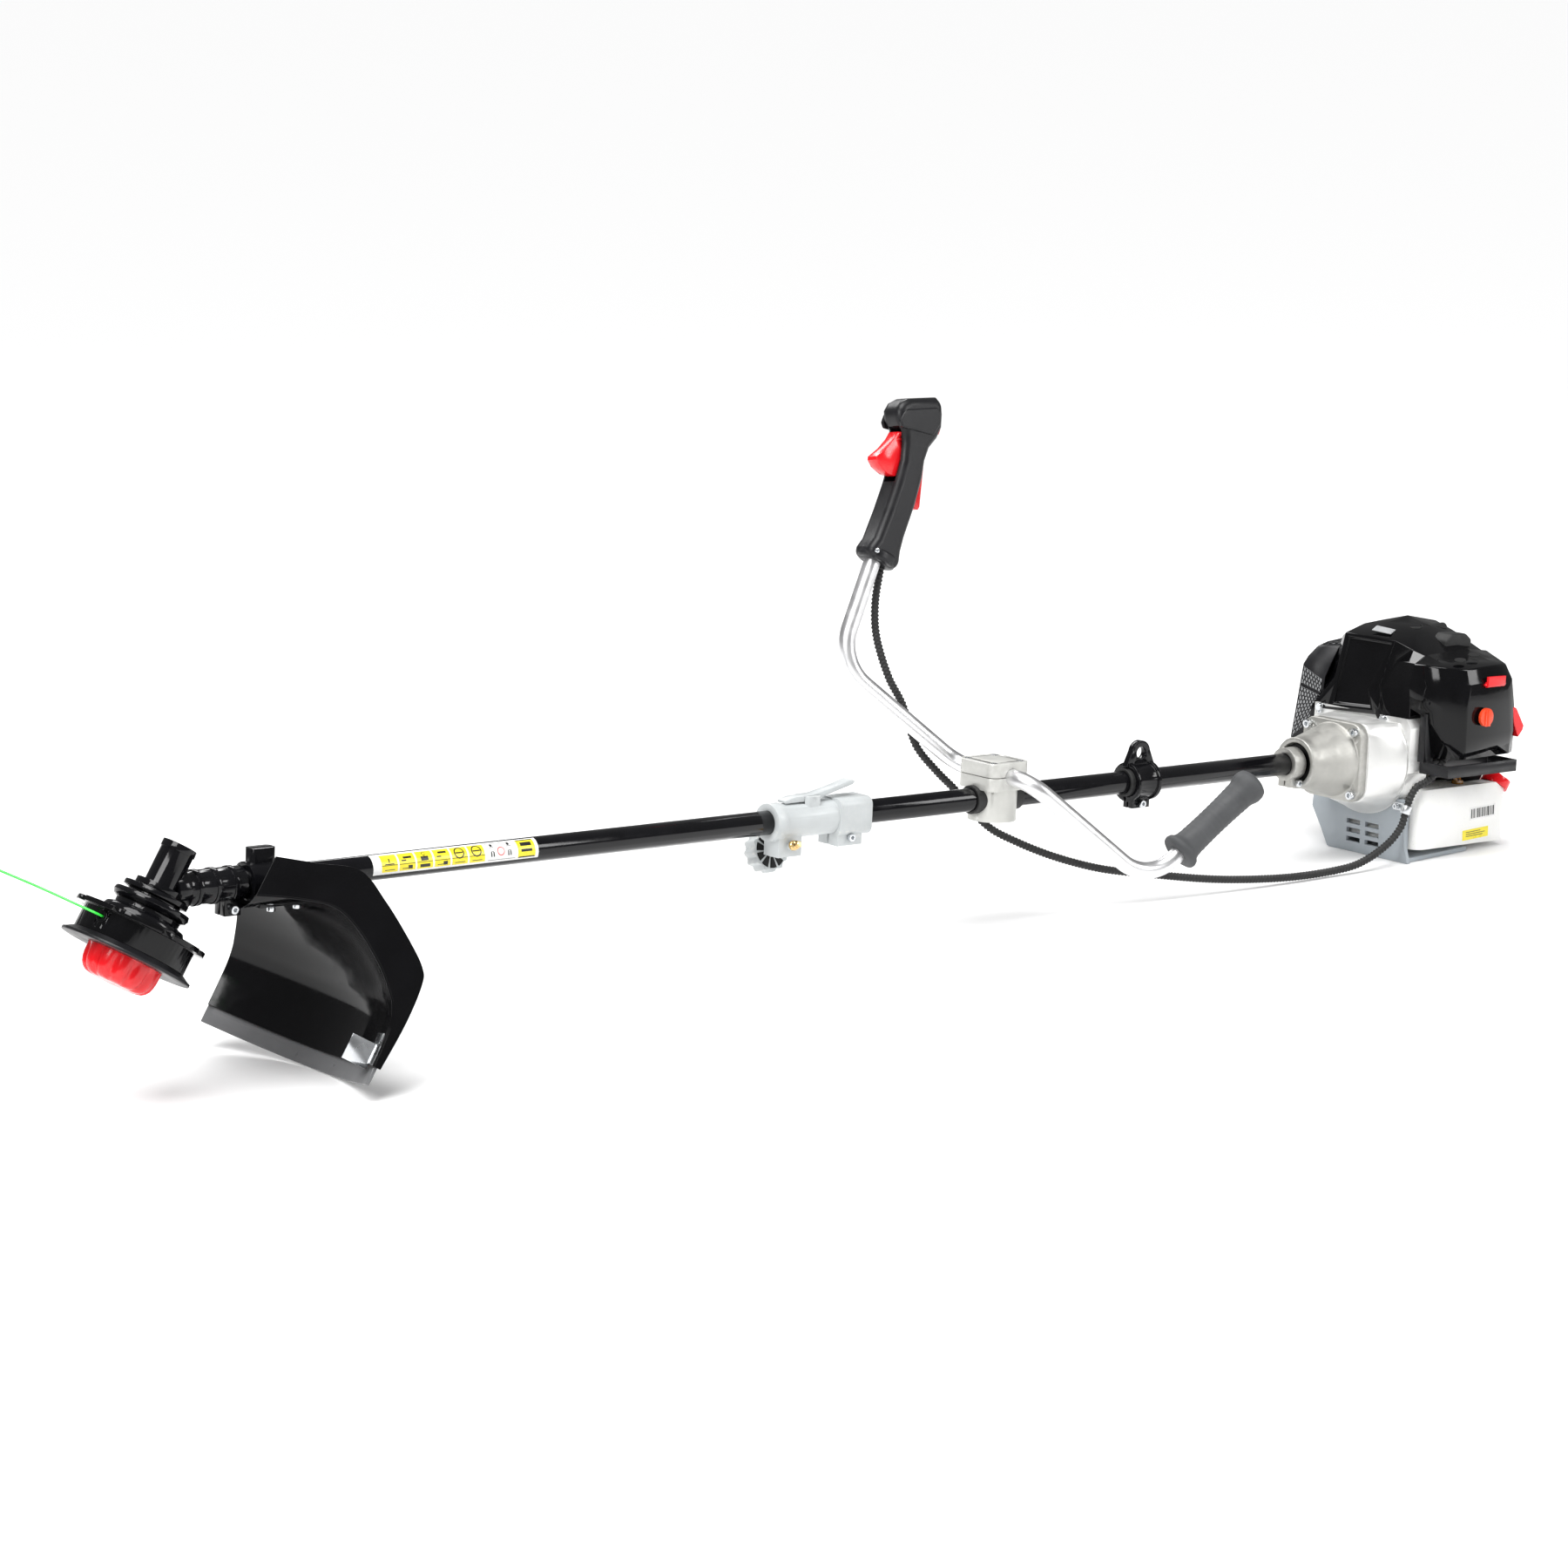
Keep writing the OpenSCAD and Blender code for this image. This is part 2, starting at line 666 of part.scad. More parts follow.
module throttle_hollow() {
    translate([0, throttle_base]) polygon([
        [-2, 93], [60, 93], [60, 152], [12, 152], [7, 140], [2, 128], [-2, 112]]);
    translate([0, throttle_base]) polygon([[-60, 76], [-8, 76], [-3, 118], [-3, 138], [-60, 138]]);
    translate([0, throttle_base]) polygon([
        [-9, 154], [8, 157], [34, 162], [36, 172], [30, 180], [-1, 195], [-6, 193], [-9, 186]]);
}

module throttle_half(y0, y1) {
    at_throttle() difference() {
        translate([0, y1, 0]) rotate([90, 0, 0]) linear_extrude(y1 - y0) throttle_outline();
        translate([0, 9, 0]) rotate([90, 0, 0]) linear_extrude(18) throttle_hollow();
        translate([0, 0, throttle_base - 1]) cylinder(h = 72, r = bar_r + eps);
        translate([-31, -7.2, throttle_base + 169]) cube([20, 14.4, 14.4]);
        throttle_pins(0.01);
        translate([-14, 0, throttle_base - 1]) cylinder(h = 26, r = 8);
        translate([12, y1, throttle_base + 9]) rotate([-90, 0, 0]) screw_hole(20, 3);
    }
}

module throttle_pins(grow) {
    for (p = [trigger_pin, lockout_pin])
        translate([p[0], 13, p[1]]) rotate([90, 0, 0]) cylinder(h = 26, r = 2 + grow);
}

module throttle_shell_left() {
    color("#1c1d1f") throttle_half(0, 16);
}

module throttle_shell_right() {
    color("#1c1d1f") {
        throttle_half(-16, 0);
        at_throttle() throttle_pins(0);
    }
}

// Trigger on the side that faces the cutting head
module throttle_trigger() {
    color("#e01216") at_throttle() difference() {
        translate([0, 8, 0]) rotate([90, 0, 0]) linear_extrude(16) union() {
            translate(trigger_pin) circle(5);
            translate([0, throttle_base]) polygon([
                [25, 148], [14, 146], [11, 138], [10, 124], [11, 106], [14, 99], [24, 97],
                [38, 99], [46, 104], [47, 108], [38, 122], [32, 136], [30, 146]]);
        }
        translate([trigger_pin[0], 10, trigger_pin[1]]) rotate([90, 0, 0])
            cylinder(h = 20, r = 2 + running_gap);
    }
}

// Lockout lever on the palm side
module lockout_lever() {
    color("#e01216") at_throttle() difference() {
        translate([0, 6, 0]) rotate([90, 0, 0]) linear_extrude(12) union() {
            translate(lockout_pin) circle(4.5);
            translate([0, throttle_base]) polygon([
                [-8, 122], [-8, 134], [-17, 136], [-21, 128], [-28, 104], [-34, 84], [-33, 80],
                [-27, 79], [-22, 92], [-16, 104], [-12, 114]]);
        }
        translate([lockout_pin[0], 10, lockout_pin[1]]) rotate([90, 0, 0])
            cylinder(h = 20, r = 2 + running_gap);
    }
}

// Slide switch at the back of the handle's head
module kill_switch() {
    color("#d01a1e") at_throttle()
        translate([-27, -6, throttle_base + 170]) cube([14, 12, 7]);
}

// ---------------------------------------------------------------- control conduit

conduit_r = 4.8;
clip_y = 54;
clip_z = 68;
conduit_route = [
    [670.5, -124.5, 256], [675, -124, 243], [684, -120, 205], [684, -115, 168], [673, -105, 125],
    [657, -97, 93], [645, -85.5, 49], [624, -73, 20], [600, -64, -4], [568, -48, -42],
    [534, -34, -62], [485, -18, -82], [428, -2, -98], [368, 14, -107], [293, 30, -117],
    [232, 42, -121.5], [168, 52, -123], [107, 60, -120], [68, 66, -113], [29, 69, -95],
    [8, 71, -75], [3, 73, -54], [-2, 75, -38], [-9, 77, -27], [-20, 80, -22], [-32, 84, -12],
    [-40, 87, 2], [-44, 88, 12]];

module throttle_conduit() {
    color("#1b1b1c") at_shaft() sweep(smooth(conduit_route, 3), conduit_r, 12);
}

// Zinc P-clip that holds the conduit to the stand
module conduit_clip() {
    color("silver") difference() {
        union() {
            along([3, 73, -54], [-10, 4, 37]) cylinder(h = 10, r = conduit_r + 1.2, center = true);
            at_floor() block(0, 1.2, 48, 70, 63, 73);
        }
        along([3, 73, -54], [-10, 4, 37]) cylinder(h = 20, r = conduit_r, center = true);
        at_floor() translate([-1, clip_y, clip_z]) rotate([0, 90, 0]) cylinder(h = 4, r = 2);
    }
}

// ---------------------------------------------------------------- harness ring

module harness_ring() {
    color("#1c1c1e") at_shaft() difference() {
        union() {
            ring_x(hook_x - 18, 36, 20, sleeve_r);
            for (x = [hook_x - 18, hook_x + 13]) ring_x(x, 5, 22.5, sleeve_r);
            block(hook_x - 14, hook_x + 14, -7, 7, -30, -18);
            slab_y(-4, 8) union() {
                translate([hook_x, hook_eye_z]) circle(14);
                polygon([[hook_x - 22, 18], [hook_x + 22, 18], [hook_x + 13.5, hook_eye_z + 3],
                    [hook_x - 13.5, hook_eye_z + 3]]);
            }
        }
        rod_x(hook_x - 30, 60, sleeve_r);
        translate([hook_x, 0, hook_eye_z]) rod_y(-10, 20, hook_eye_r);
        block(hook_x - 20, hook_x + 20, -1, 1, -32, -14);
        translate([hook_x, 0, -25]) rod_y(-20, 40, 2.5);
    }
}

// ---------------------------------------------------------------- clutch

module shaft_collar() {
    color("#a9aaa6") at_shaft() difference() {
        union() {
            ring_x(mouth_x + 0.5, 18, 19.5, tube_r);
            block(mouth_x + 0.5, 137, -10, 10, -27, -14);
        }
        rod_x(110, 32, tube_r);
        block(113, 139, -1.2, 1.2, -28, -10);
        translate([126, 0, -22]) rod_y(-20, 40, 2.5);
    }
}

module damper() {
    color("#1a1a1a") at_shaft() ring_x(tube_start, 24, 24, tube_r);
}

module case_bolts() {
    for (sy = [-1, 1], sz = [-1, 1])
        translate([flange_front, sy * case_bolt_half, sz * case_bolt_half])
            rotate([0, 90, 0]) children();
}

module clutch_case() {
    color("#b4b3ac") at_shaft() difference() {
        union() {
            slab_x(flange_back, flange_front - flange_back) rounded(94, 94, 17);
            translate([flange_front, 0, 0]) rotate([0, 90, 0]) cylinder(h = 54, r1 = 44, r2 = 30);
            rod_x(mouth_x - 10, 10, 30.5);
        }
        rod_x(flange_back - 1, 8, 42);
        rod_x(50, 60, 10);
        rod_x(flange_front + 2, 9, 16);
        rod_x(flange_front + 11, 20, 12);
        rod_x(86, 40, 24);
        case_bolts() screw_hole(30, 6);
    }
}

module clutch_drum() {
    color("dimgray") at_shaft() {
        difference() {
            rod_x(12, 35, drum_r);
            rod_x(11, 33, drum_r - 2.5);
        }
        difference() {
            rod_x(47, 36, 8);
            rod_x(66, 18, drive_r);
        }
    }
}

module clutch_shoes() {
    color("dimgray") at_shaft() for (side = [0, 180]) rotate([side, 0, 0]) difference() {
        rod_x(16, 18, drum_r - 4.5);
        rod_x(15, 20, 14);
        block(15, 35, -40, 40, -40, 3);
    }
}

module crankshaft() {
    color("silver") at_shaft() {
        difference() {
            rod_x(-142, 178, 6);
            rod_x(-79, 14, 7);
        }
        for (x = [-86, -65]) rod_x(x, 7, 30);
        translate([0, 0, 16]) rod_x(-79, 14, 5);
        difference() {
            rod_x(14, 22, 14);
            rod_x(13, 24, 6);
        }
    }
}

module flywheel_fan() {
    color("#8f9192") at_shaft() difference() {
        union() {
            rod_x(-30, 6, 56);
            rod_x(-33.5, 23.5, 14);
            for (a = [0:20:340]) rotate([a, 0, 0]) block(-25, -8, -1.2, 1.2, 32, 55.8);
        }
        rod_x(-36, 30, 6);
    }
}

// ---------------------------------------------------------------- engine castings

housing_depth = 34;

module housing_outline() {
    circle(fan_housing_r);
    polygon([[-68, -16], [-86, 30], [-86, 52], [62, 52], [70, 42], [69, -12]]);
}

module housing_inner() {
    circle(fan_housing_r - 4);
    polygon([[-64, -16], [-81, 30], [-81, 48], [60, 48], [65, 40], [65, -12]]);
}

shroud_screws = [[-76, 48], [26, 48]];

module fan_housing() {
    color("#c3c4c2") at_shaft() difference() {
        union() {
            slab_x(-housing_depth, housing_depth) housing_outline();
            slab_x(0, flange_back) rounded(94, 94, 17);
        }
        slab_x(-housing_depth - 1, housing_depth - 3) housing_inner();
        rod_x(-10, 70, 42);
        case_bolts() screw_hole(30, 6);
        slab_x(-housing_depth - 1, 20) translate([-60, 34]) square([110, 40]);
        slab_x(-housing_depth - 1, housing_depth + 2) translate([-100, 52]) square([200, 40]);
        for (p = shroud_screws) translate([0, p[0], p[1] - 6]) rotate([0, 90, 0]) screw_hole(12, 3);
    }
}

crank_back = -108;
bore_x = -72;

module crankcase() {
    color("#9fa09e") at_shaft() difference() {
        union() {
            rod_x(crank_back, -housing_depth - crank_back, 44);
            block(bore_x - 32, bore_x + 32, -34, 34, 0, 60);
        }
        rod_x(-88, 36, 34);
        for (x = [-100, -46]) rod_x(x, 10, 16);
        rod_x(crank_back - 1, 100, 9);
        translate([bore_x, 0, 10]) cylinder(h = 60, r = 23);
    }
}

module cylinder_fins(r) {
    for (z = [66:8:130]) translate([bore_x, 0, z]) linear_extrude(2.5) rounded(2 * r, 2 * r, 12);
}

module cylinder_block() {
    difference() {
        union() {
            translate([bore_x, 0, 60]) cylinder(h = 76, r = 26);
            cylinder_fins(36);
            translate([bore_x, 0, 85]) rotate([-90, 0, 0]) cylinder(h = 40, r = 14);
            translate([bore_x, 0, 85]) rotate([90, 0, 0]) cylinder(h = 46, r = 15);
        }
        translate([bore_x, 0, 59]) cylinder(h = 66, r = 22);
        translate([bore_x, 0, 85]) rotate([-90, 0, 0]) cylinder(h = 50, r = 9);
        translate([bore_x, 0, 85]) rotate([90, 0, 0]) cylinder(h = 50, r = 10);
        translate([bore_x, 0, 120]) cylinder(h = 20, r = 6);
    }
}

module cylinder_node() {
    color("#a8a9a8") at_shaft() cylinder_block();
}

// Plug with its insulator and rubber cap
module spark_plug() {
    color("#1a1a1b") at_shaft() {
        translate([bore_x, 0, 124]) cylinder(h = 12, r = 6);
        translate([bore_x, 0, 136]) cylinder(h = 5, r = 9, $fn = 6);
        translate([bore_x, 0, 141]) cylinder(h = 10, r = 9);
        translate([bore_x - 10, 0, 146]) rotate([0, -90, 0]) cylinder(h = 42, r = 7);
        translate([bore_x - 10, 0, 141]) cylinder(h = 10, r = 7);
    }
}

// ---------------------------------------------------------------- covers

shroud_front = -10;
shroud_back = -106;
shroud_tail = -140;
shroud_low = 53;

// Side view of the shroud, whose tail reaches over the starter; the bottom is open
module shroud_side(grow) {
    polygon([
        [shroud_front + 8 + grow, shroud_low + 3 * grow], [shroud_front + 6 + grow, 70],
        [shroud_front + grow, 90], [-16 + grow, 134 + grow], [-40, 152 + grow],
        [-84, 160 + grow], [shroud_tail - grow, 148 + grow], [shroud_tail - 2 - grow, 110 - grow],
        [shroud_back - grow, 72 - grow], [shroud_back - grow, shroud_low + 3 * grow]]);
}

module shroud_front_view(grow) {
    polygon([
        [-90 - grow, shroud_low + 3 * grow], [-88 - grow, 84], [-74 - grow, 120], [-60, 154 + grow],
        [-30, 166 + grow],
        [24, 166 + grow], [46 + grow, 138], [60 + grow, 100], [62 + grow, shroud_low + 3 * grow]]);
}

module shroud_solid(grow) {
    intersection() {
        slab_y(-110, 200) shroud_side(grow);
        slab_x(-160, 170) shroud_front_view(grow);
    }
}

module engine_shroud() {
    color("#0f0f11") at_shaft() difference() {
        shroud_solid(0);
        shroud_solid(-3);
        block(shroud_tail - 5, -46, -14, 14, 136, 180);
        block(shroud_tail - 5, shroud_back + 6, -40, 40, 40, 106);
        block(-112, -40, 30, 80, 45, 118);
        block(-112, -30, -95, -50, 45, 122);
    }
}

muffler_y = -46;

module muffler() {
    color("#77787a") at_shaft() difference() {
        translate([0, -2, 0]) union() {
            rounded_block(-100, -42, -84, muffler_y + 2, 56, 116, 8);
            translate([-60, -84, 70]) rotate([90, 0, 0]) cylinder(h = 8, r = 6);
        }
        translate([-60, -80, 70]) rotate([90, 0, 0]) cylinder(h = 20, r = 4);
        translate([0, -2, 0]) rounded_block(-98, -44, -82, muffler_y, 58, 114, 6);
        translate([bore_x, muffler_y + 4, 85]) rotate([90, 0, 0]) cylinder(h = 10, r = 10);
    }
}

module muffler_section(grow) {
    polygon([
        [-90, -4 - grow], [-124 - grow, 4 - grow], [-126 - grow, 40], [-98 - grow, 122 + grow],
        [-90, 124 + grow]]);
}

// Guard over the hot side, with rows of holes
module muffler_cover() {
    color("#131315") at_shaft() difference() {
        slab_x(-112, 100) muffler_section(0);
        slab_x(-109.5, 95) translate([2, 0]) muffler_section(-2.5);
        for (z = [12:11:34]) for (x = [-102:12:-22])
            translate([x, -130, z]) rotate([-90, 0, 0]) cylinder(h = 12, r = 4);
        for (y = [-112:9:-103]) for (z = [14:11:36]) translate([-20, y, z]) rod_x(0, 12, 3.2);
    }
}

module carburettor() {
    color("#b0b1b0") at_shaft() difference() {
        union() {
            block(-90, -54, 40, 68, 68, 104);
            translate([bore_x, 54, 85]) rotate([-90, 0, 0]) cylinder(h = 16, r = 15);
            translate([-72, 54, 60]) cylinder(h = 10, r = 9);
        }
        translate([bore_x, 30, 85]) rotate([-90, 0, 0]) cylinder(h = 50, r = 9);
    }
}

cover_back = -140;
cover_out = 118;
band_low = -12;

// Moulded base that carries the air filter, with the band below its cover
module filter_base() {
    color("#0d0d0e") at_shaft() difference() {
        union() {
            slab_y(70.5, 3.5) cover_side();
            block(-120, -50, 70.5, 74, 0, 8);
            block(cover_back, -36, 62, 116, band_low, 2);
            block(-36, -18, 71, 116, band_low, 2);
            block(-30, -14, 70.5, 80, 2, 60);
        }
        block(cover_back + 4, -38, 66, 70, band_low - 1, 0);
        block(cover_back + 4, -38, 74, 112, band_low - 1, 3);
        block(-38 - eps, -22, 75, 112, band_low - 1, 3);
        translate([bore_x, 60, 85]) rotate([-90, 0, 0]) cylinder(h = 20, r = 12);
    }
}

module filter_element() {
    color("#3b3c3e") at_shaft() difference() {
        rounded_block(-124, -46, 75, 100, 24, 104, 6);
        translate([bore_x, 70, 85]) rotate([-90, 0, 0]) cylinder(h = 12, r = 12);
    }
}

module cover_side() {
    polygon([
        [-14, 46], [-20, 112], [-34, 124], [-112, 122], [-134, 108], [-142, 60], [-142, 6],
        [-40, 6], [-36, 40], [-16, 44]]);
}

module cover_top() {
    polygon([
        [-14, 63], [-22, 86], [-34, 112], [-60, cover_out], [-124, cover_out], [-140, 110],
        [-144, 76], [-144, 63]]);
}

module cover_inner_top() {
    polygon([
        [-17.5, 50], [-25, 86], [-37, 109], [-61, cover_out - 3], [-123, cover_out - 3],
        [-137, 108], [-141, 76], [-141, 50]]);
}

choke_at = [-76, 58];
latch_at = [-92, 100];

module filter_cover() {
    color("#101013") at_shaft() difference() {
        intersection() {
            slab_y(74.2, 60) cover_side();
            translate([0, 0, -10]) linear_extrude(150) cover_top();
        }
        intersection() {
            slab_y(40, 90) translate([-77, 64]) scale([0.95, 0.95]) translate([77, -64]) cover_side();
            translate([0, 0, -10]) linear_extrude(150) cover_inner_top();
        }
        translate([choke_at[0], 0, choke_at[1]]) rod_y(cover_out - 6, 10, 4 + running_gap);
        translate([choke_at[0], 0, choke_at[1]]) rod_y(cover_out - 2, 10, 13);
        block(latch_at[0] - 17, latch_at[0] + 15, cover_out - 9, cover_out + 4,
            latch_at[1] - 8, latch_at[1] + 6.5);
        block(-58, -34, 76, 98, 0, 16);
        block(-33, -12, 50, 80.3, 0, 60.3);
        translate([latch_at[0], latch_y, latch_z]) rod_x(-19.5, 37, 1.5 + running_gap);
    }
}

latch_y = cover_out - 4;
latch_z = latch_at[1] - 4;

// Latch that turns outwards on its pin to free the cover
module filter_latch() {
    color("#d01a1e") at_shaft() translate([latch_at[0], latch_y, latch_z]) {
        rod_x(-19, 36, 1.5);
        rod_x(-16, 30, 3.4);
        block(-16, 14, 0, 3.4, 0, 9.6);
    }
}

module choke_knob() {
    color("#e8401c") at_shaft() translate([choke_at[0], 0, choke_at[1]]) rotate([-90, 0, 0]) {
        translate([0, 0, cover_out - 12]) cylinder(h = 12, r = 4);
        translate([0, 0, cover_out - 1.6]) cylinder(h = 4, r = 11);
        translate([-2, -10, cover_out + 2.4]) cube([4, 20, 4]);
    }
}

// ---------------------------------------------------------------- fuel

tank_front = -16;
tank_back = tank_front - tank_length;
tank_low = -105;
tank_top = -33;
cap_at = [-164, 62, -40];
cap_lean = 32;

module tank_saddles(grow) {
    rod_x(-37 - grow, 60, fan_housing_r + 2 + grow);
    rod_x(crank_back - 2, 80, 46 + grow);
    rod_x(-154 - grow, 46, 64 + grow);
}

module cap_axis() {
    translate(cap_at) rotate([0, -cap_lean, 0]) children();
}

// Sloping corner that the filler neck stands on
module tank_shoulder(grow) {
    translate([-40 - grow, -20 - grow, -0.5 - grow]) cube([70 + 2 * grow, 60, 60]);
}

module fuel_tank() {
    color("#e9eae6") at_shaft() difference() {
        union() {
            difference() {
                rounded_block(tank_back, tank_front, -58, 76, tank_low, tank_top, 14);
                tank_saddles(0);
                cap_axis() tank_shoulder(0);
            }
            cap_axis() translate([0, 0, -6]) cylinder(h = 13, r = 13);
        }
        difference() {
            rounded_block(tank_back + 3, tank_front - 3, -55, 73, tank_low + 3, tank_top - 3, 11);
            tank_saddles(3);
            cap_axis() tank_shoulder(3);
        }
        cap_axis() translate([0, 0, -12]) cylinder(h = 30, r = 10);
        translate([-100, 60, tank_top - 5]) cylinder(h = 10, r = 7);
    }
}

module fuel_cap() {
    color("#d8181c") at_shaft() cap_axis() {
        difference() {
            translate([0, 0, 0]) cylinder(h = 11, r = 17);
            translate([0, 0, -1]) cylinder(h = 8 + running_gap, r = 13 + running_gap);
        }
        translate([-15, -2.5, 11]) cube([30, 5, 5]);
    }
}

feed_route = [
    [-103, 60, tank_top + 3], [-103, 57, -14], [-100, 55, 20], [-92, 53, 52], [-86, 52, 68]];
return_route = [
    [-97, 60, tank_top + 3], [-94, 57, -14], [-84, 55, 20], [-76, 54, 44], [-74, 54, 60]];

// Grommet with the feed and return hoses up to the carburettor
module fuel_lines() {
    color("#c8a11e") at_shaft() {
        translate([-100, 60, tank_top - 4.9]) cylinder(h = 9, r = 7);
        for (route = [feed_route, return_route]) sweep(smooth(route, 5), 2.4, 10);
    }
}

// ---------------------------------------------------------------- stand and starter

stand_front_x = 0;
stand_back_x = -109;

module stand_outline() {
    polygon([[-56, 0], [72, 0], [66, 20], [62, 76], [-80, 80], [-84, 46]]);
}

module at_floor() {
    translate([stand_centre, 0, 0]) children();
}

module stand() {
    color("#8b9299") difference() {
        union() {
            at_floor() slab_x(stand_front_x - 5, 5) stand_outline();
            at_floor() block(stand_back_x, stand_front_x, -56, 68, 0, 5);
            at_floor() block(stand_back_x + 30, stand_front_x - 2, -76, -72, 30, 60);
            at_floor() slab_x(stand_back_x + 30, 77) polygon([[-53, 0], [-60, 0], [-77, 32], [-73, 32]]);
            at_floor() block(-9, stand_front_x - 2, 58, 64, 4, 72);
        }
        at_shaft() rod_x(-60, 120, fan_housing_r);
        for (row = [0:2]) for (side = [-1, 1])
            at_floor() block(-8, 8, side * 15 - 12, side * 15 + 10, 12 + row * 11, 18 + row * 11);
        at_floor() translate([-10, clip_y, clip_z]) rotate([0, 90, 0]) cylinder(h = 20, r = 2);
    }
}

recoil_x = -132;
rope_side = 33;
pull_tilt = 75;

module at_pull() {
    at_shaft() rotate([pull_tilt, 0, 0]) translate([recoil_x, rope_side, 0]) children();
}

// Starter housing with its pulley and the rope guide
module recoil_housing() {
    color("#17171a") difference() {
        union() {
            at_shaft() {
                ring_x(-152, 44, 60, 55);
                ring_x(-110, 2, 58, 41);
                rod_x(-152, 4, 58);
                ring_x(-149, 22, 29, 6.5);
            }
            at_pull() translate([0, 0, 42]) cylinder(h = 20, r = 9);
        }
        at_pull() translate([0, 0, 20]) cylinder(h = 50, r = 2.5);
        at_shaft() for (a = [0:30:330]) rotate([a, 0, 0]) translate([-160, 0, 42]) rod_x(0, 10, 5);
    }
}

// Pull handle on the straight length of rope that lies beside the pulley
module recoil_handle() {
    color("#17171a") at_pull() {
        translate([0, 0, -40]) cylinder(h = 104, r = 2);
        translate([0, 0, 62.5]) cylinder(h = 8, r = 8.5);
        translate([0, 0, 72]) rotate([0, 90, 0]) cylinder(h = 38, r = 7, center = true);
    }
}

// ---------------------------------------------------------------- fasteners

module screws() {
    color("#c9ccd0") {
        at_shaft() {
            case_bolts() screw(28, 6);
            clamp_bolts() screw(26, 5);
            for (p = shroud_screws) translate([0, p[0], p[1] - 6]) rotate([0, 90, 0]) screw(3, 3);
            translate([coupler_start + 27, 16, lug_z]) rotate([-90, 0, 0]) screw(32, 5);
            translate([1601, 9, -23.5]) rotate([-90, 0, 0]) screw(18, 5);
            translate([hook_x, 7, -25]) rotate([-90, 0, 0]) screw(14, 5);
            translate([126, 10, -22]) rotate([-90, 0, 0]) screw(20, 5);
            for (y = [-21, 21]) for (x = [bracket_x - 10, bracket_x + 20])
                translate([x, y, -21.5]) rotate([180, 0, 0]) screw(8, 5);
        }
        at_throttle() translate([12, 16, throttle_base + 9]) rotate([-90, 0, 0]) screw(18, 3);
        at_floor() translate([1.2, clip_y, clip_z]) rotate([0, 90, 0]) screw(7, 4);
    }
}

rear_tube();
front_tube();
drive_shafts();
drive_pinion();
bearings();
coupler_body();
coupler_lever();
coupler_knob();
gear_case();
output_gear();
blade_holder();
head_housing();
head_disc();
line_spool();
tap_knob();
cutting_line();
guard_bracket();
guard_shell();
guard_skirt();
line_cutter();
handle_clamp_base();
handle_clamp_cap();
rubber_sleeves();
handlebar();
plain_grip();
throttle_shell_left();
throttle_shell_right();
throttle_trigger();
lockout_lever();
kill_switch();
throttle_conduit();
conduit_clip();
harness_ring();
shaft_collar();
damper();
clutch_case();
clutch_drum();
clutch_shoes();
fan_housing();
flywheel_fan();
crankshaft();
crankcase();
cylinder_node();  // cylinder
spark_plug();
engine_shroud();
muffler();
muffler_cover();
carburettor();
filter_base();
filter_element();
filter_cover();
filter_latch();
choke_knob();
fuel_tank();
fuel_cap();
fuel_lines();
stand();
recoil_housing();
recoil_handle();
screws();
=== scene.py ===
"""Looks of the petrol string trimmer: studio, materials and detailed pieces round the CAD frame."""

import json
import math

import bmesh
import bpy
from mathutils import Matrix, Vector


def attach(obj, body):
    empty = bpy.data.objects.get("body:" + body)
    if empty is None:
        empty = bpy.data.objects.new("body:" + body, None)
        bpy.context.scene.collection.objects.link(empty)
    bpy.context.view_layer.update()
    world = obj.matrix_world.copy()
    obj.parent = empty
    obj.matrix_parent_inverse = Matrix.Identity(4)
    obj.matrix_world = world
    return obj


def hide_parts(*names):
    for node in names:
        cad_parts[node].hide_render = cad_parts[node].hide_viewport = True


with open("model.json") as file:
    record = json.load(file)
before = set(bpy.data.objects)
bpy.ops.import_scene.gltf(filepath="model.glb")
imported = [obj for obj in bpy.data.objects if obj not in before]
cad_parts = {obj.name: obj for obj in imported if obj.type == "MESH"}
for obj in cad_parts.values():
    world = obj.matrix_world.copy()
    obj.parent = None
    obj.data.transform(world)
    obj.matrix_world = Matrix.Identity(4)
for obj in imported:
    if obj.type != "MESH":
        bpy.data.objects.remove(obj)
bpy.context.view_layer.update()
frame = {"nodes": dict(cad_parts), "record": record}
NODES = frame["nodes"]

# ------------------------------------------------------------------ frames (the CAD is in mm)

MM = Matrix.Scale(0.001, 4)


def turn(degrees, axis):
    return Matrix.Rotation(math.radians(degrees), 4, axis)


def shift(x, y, z):
    return Matrix.Translation((x, y, z))


FLOOR = MM @ shift(52, 0, 0)
SHAFT = MM @ shift(52, 0, 121) @ turn(-3, "Y")
HEAD = SHAFT @ shift(1680, 0, 0) @ turn(150, "Y")


def along(origin, direction):
    """Local Z along a direction, local X as near as it can be to the cutting head."""
    z = Vector(direction).normalized()
    x = (Vector((1, 0, 0)) - z * z.x).normalized()
    y = z.cross(x)
    m = Matrix((x, y, z)).transposed().to_4x4()
    m.translation = Vector(origin)
    return SHAFT @ m


# ------------------------------------------------------------------ camera and studio

camera = bpy.data.cameras.new("camera")
camera.lens = 100
camera.sensor_width = 36
camera.clip_end = 200
cam = bpy.data.objects.new("camera", camera)
bpy.context.scene.collection.objects.link(cam)
cam.location = (3.8468, 3.4777, 1.1697)
cam.rotation_mode = "QUATERNION"
cam.rotation_quaternion = Vector((-0.6253, -0.7521, -0.2079)).to_track_quat("-Z", "Y")
bpy.context.scene.camera = cam


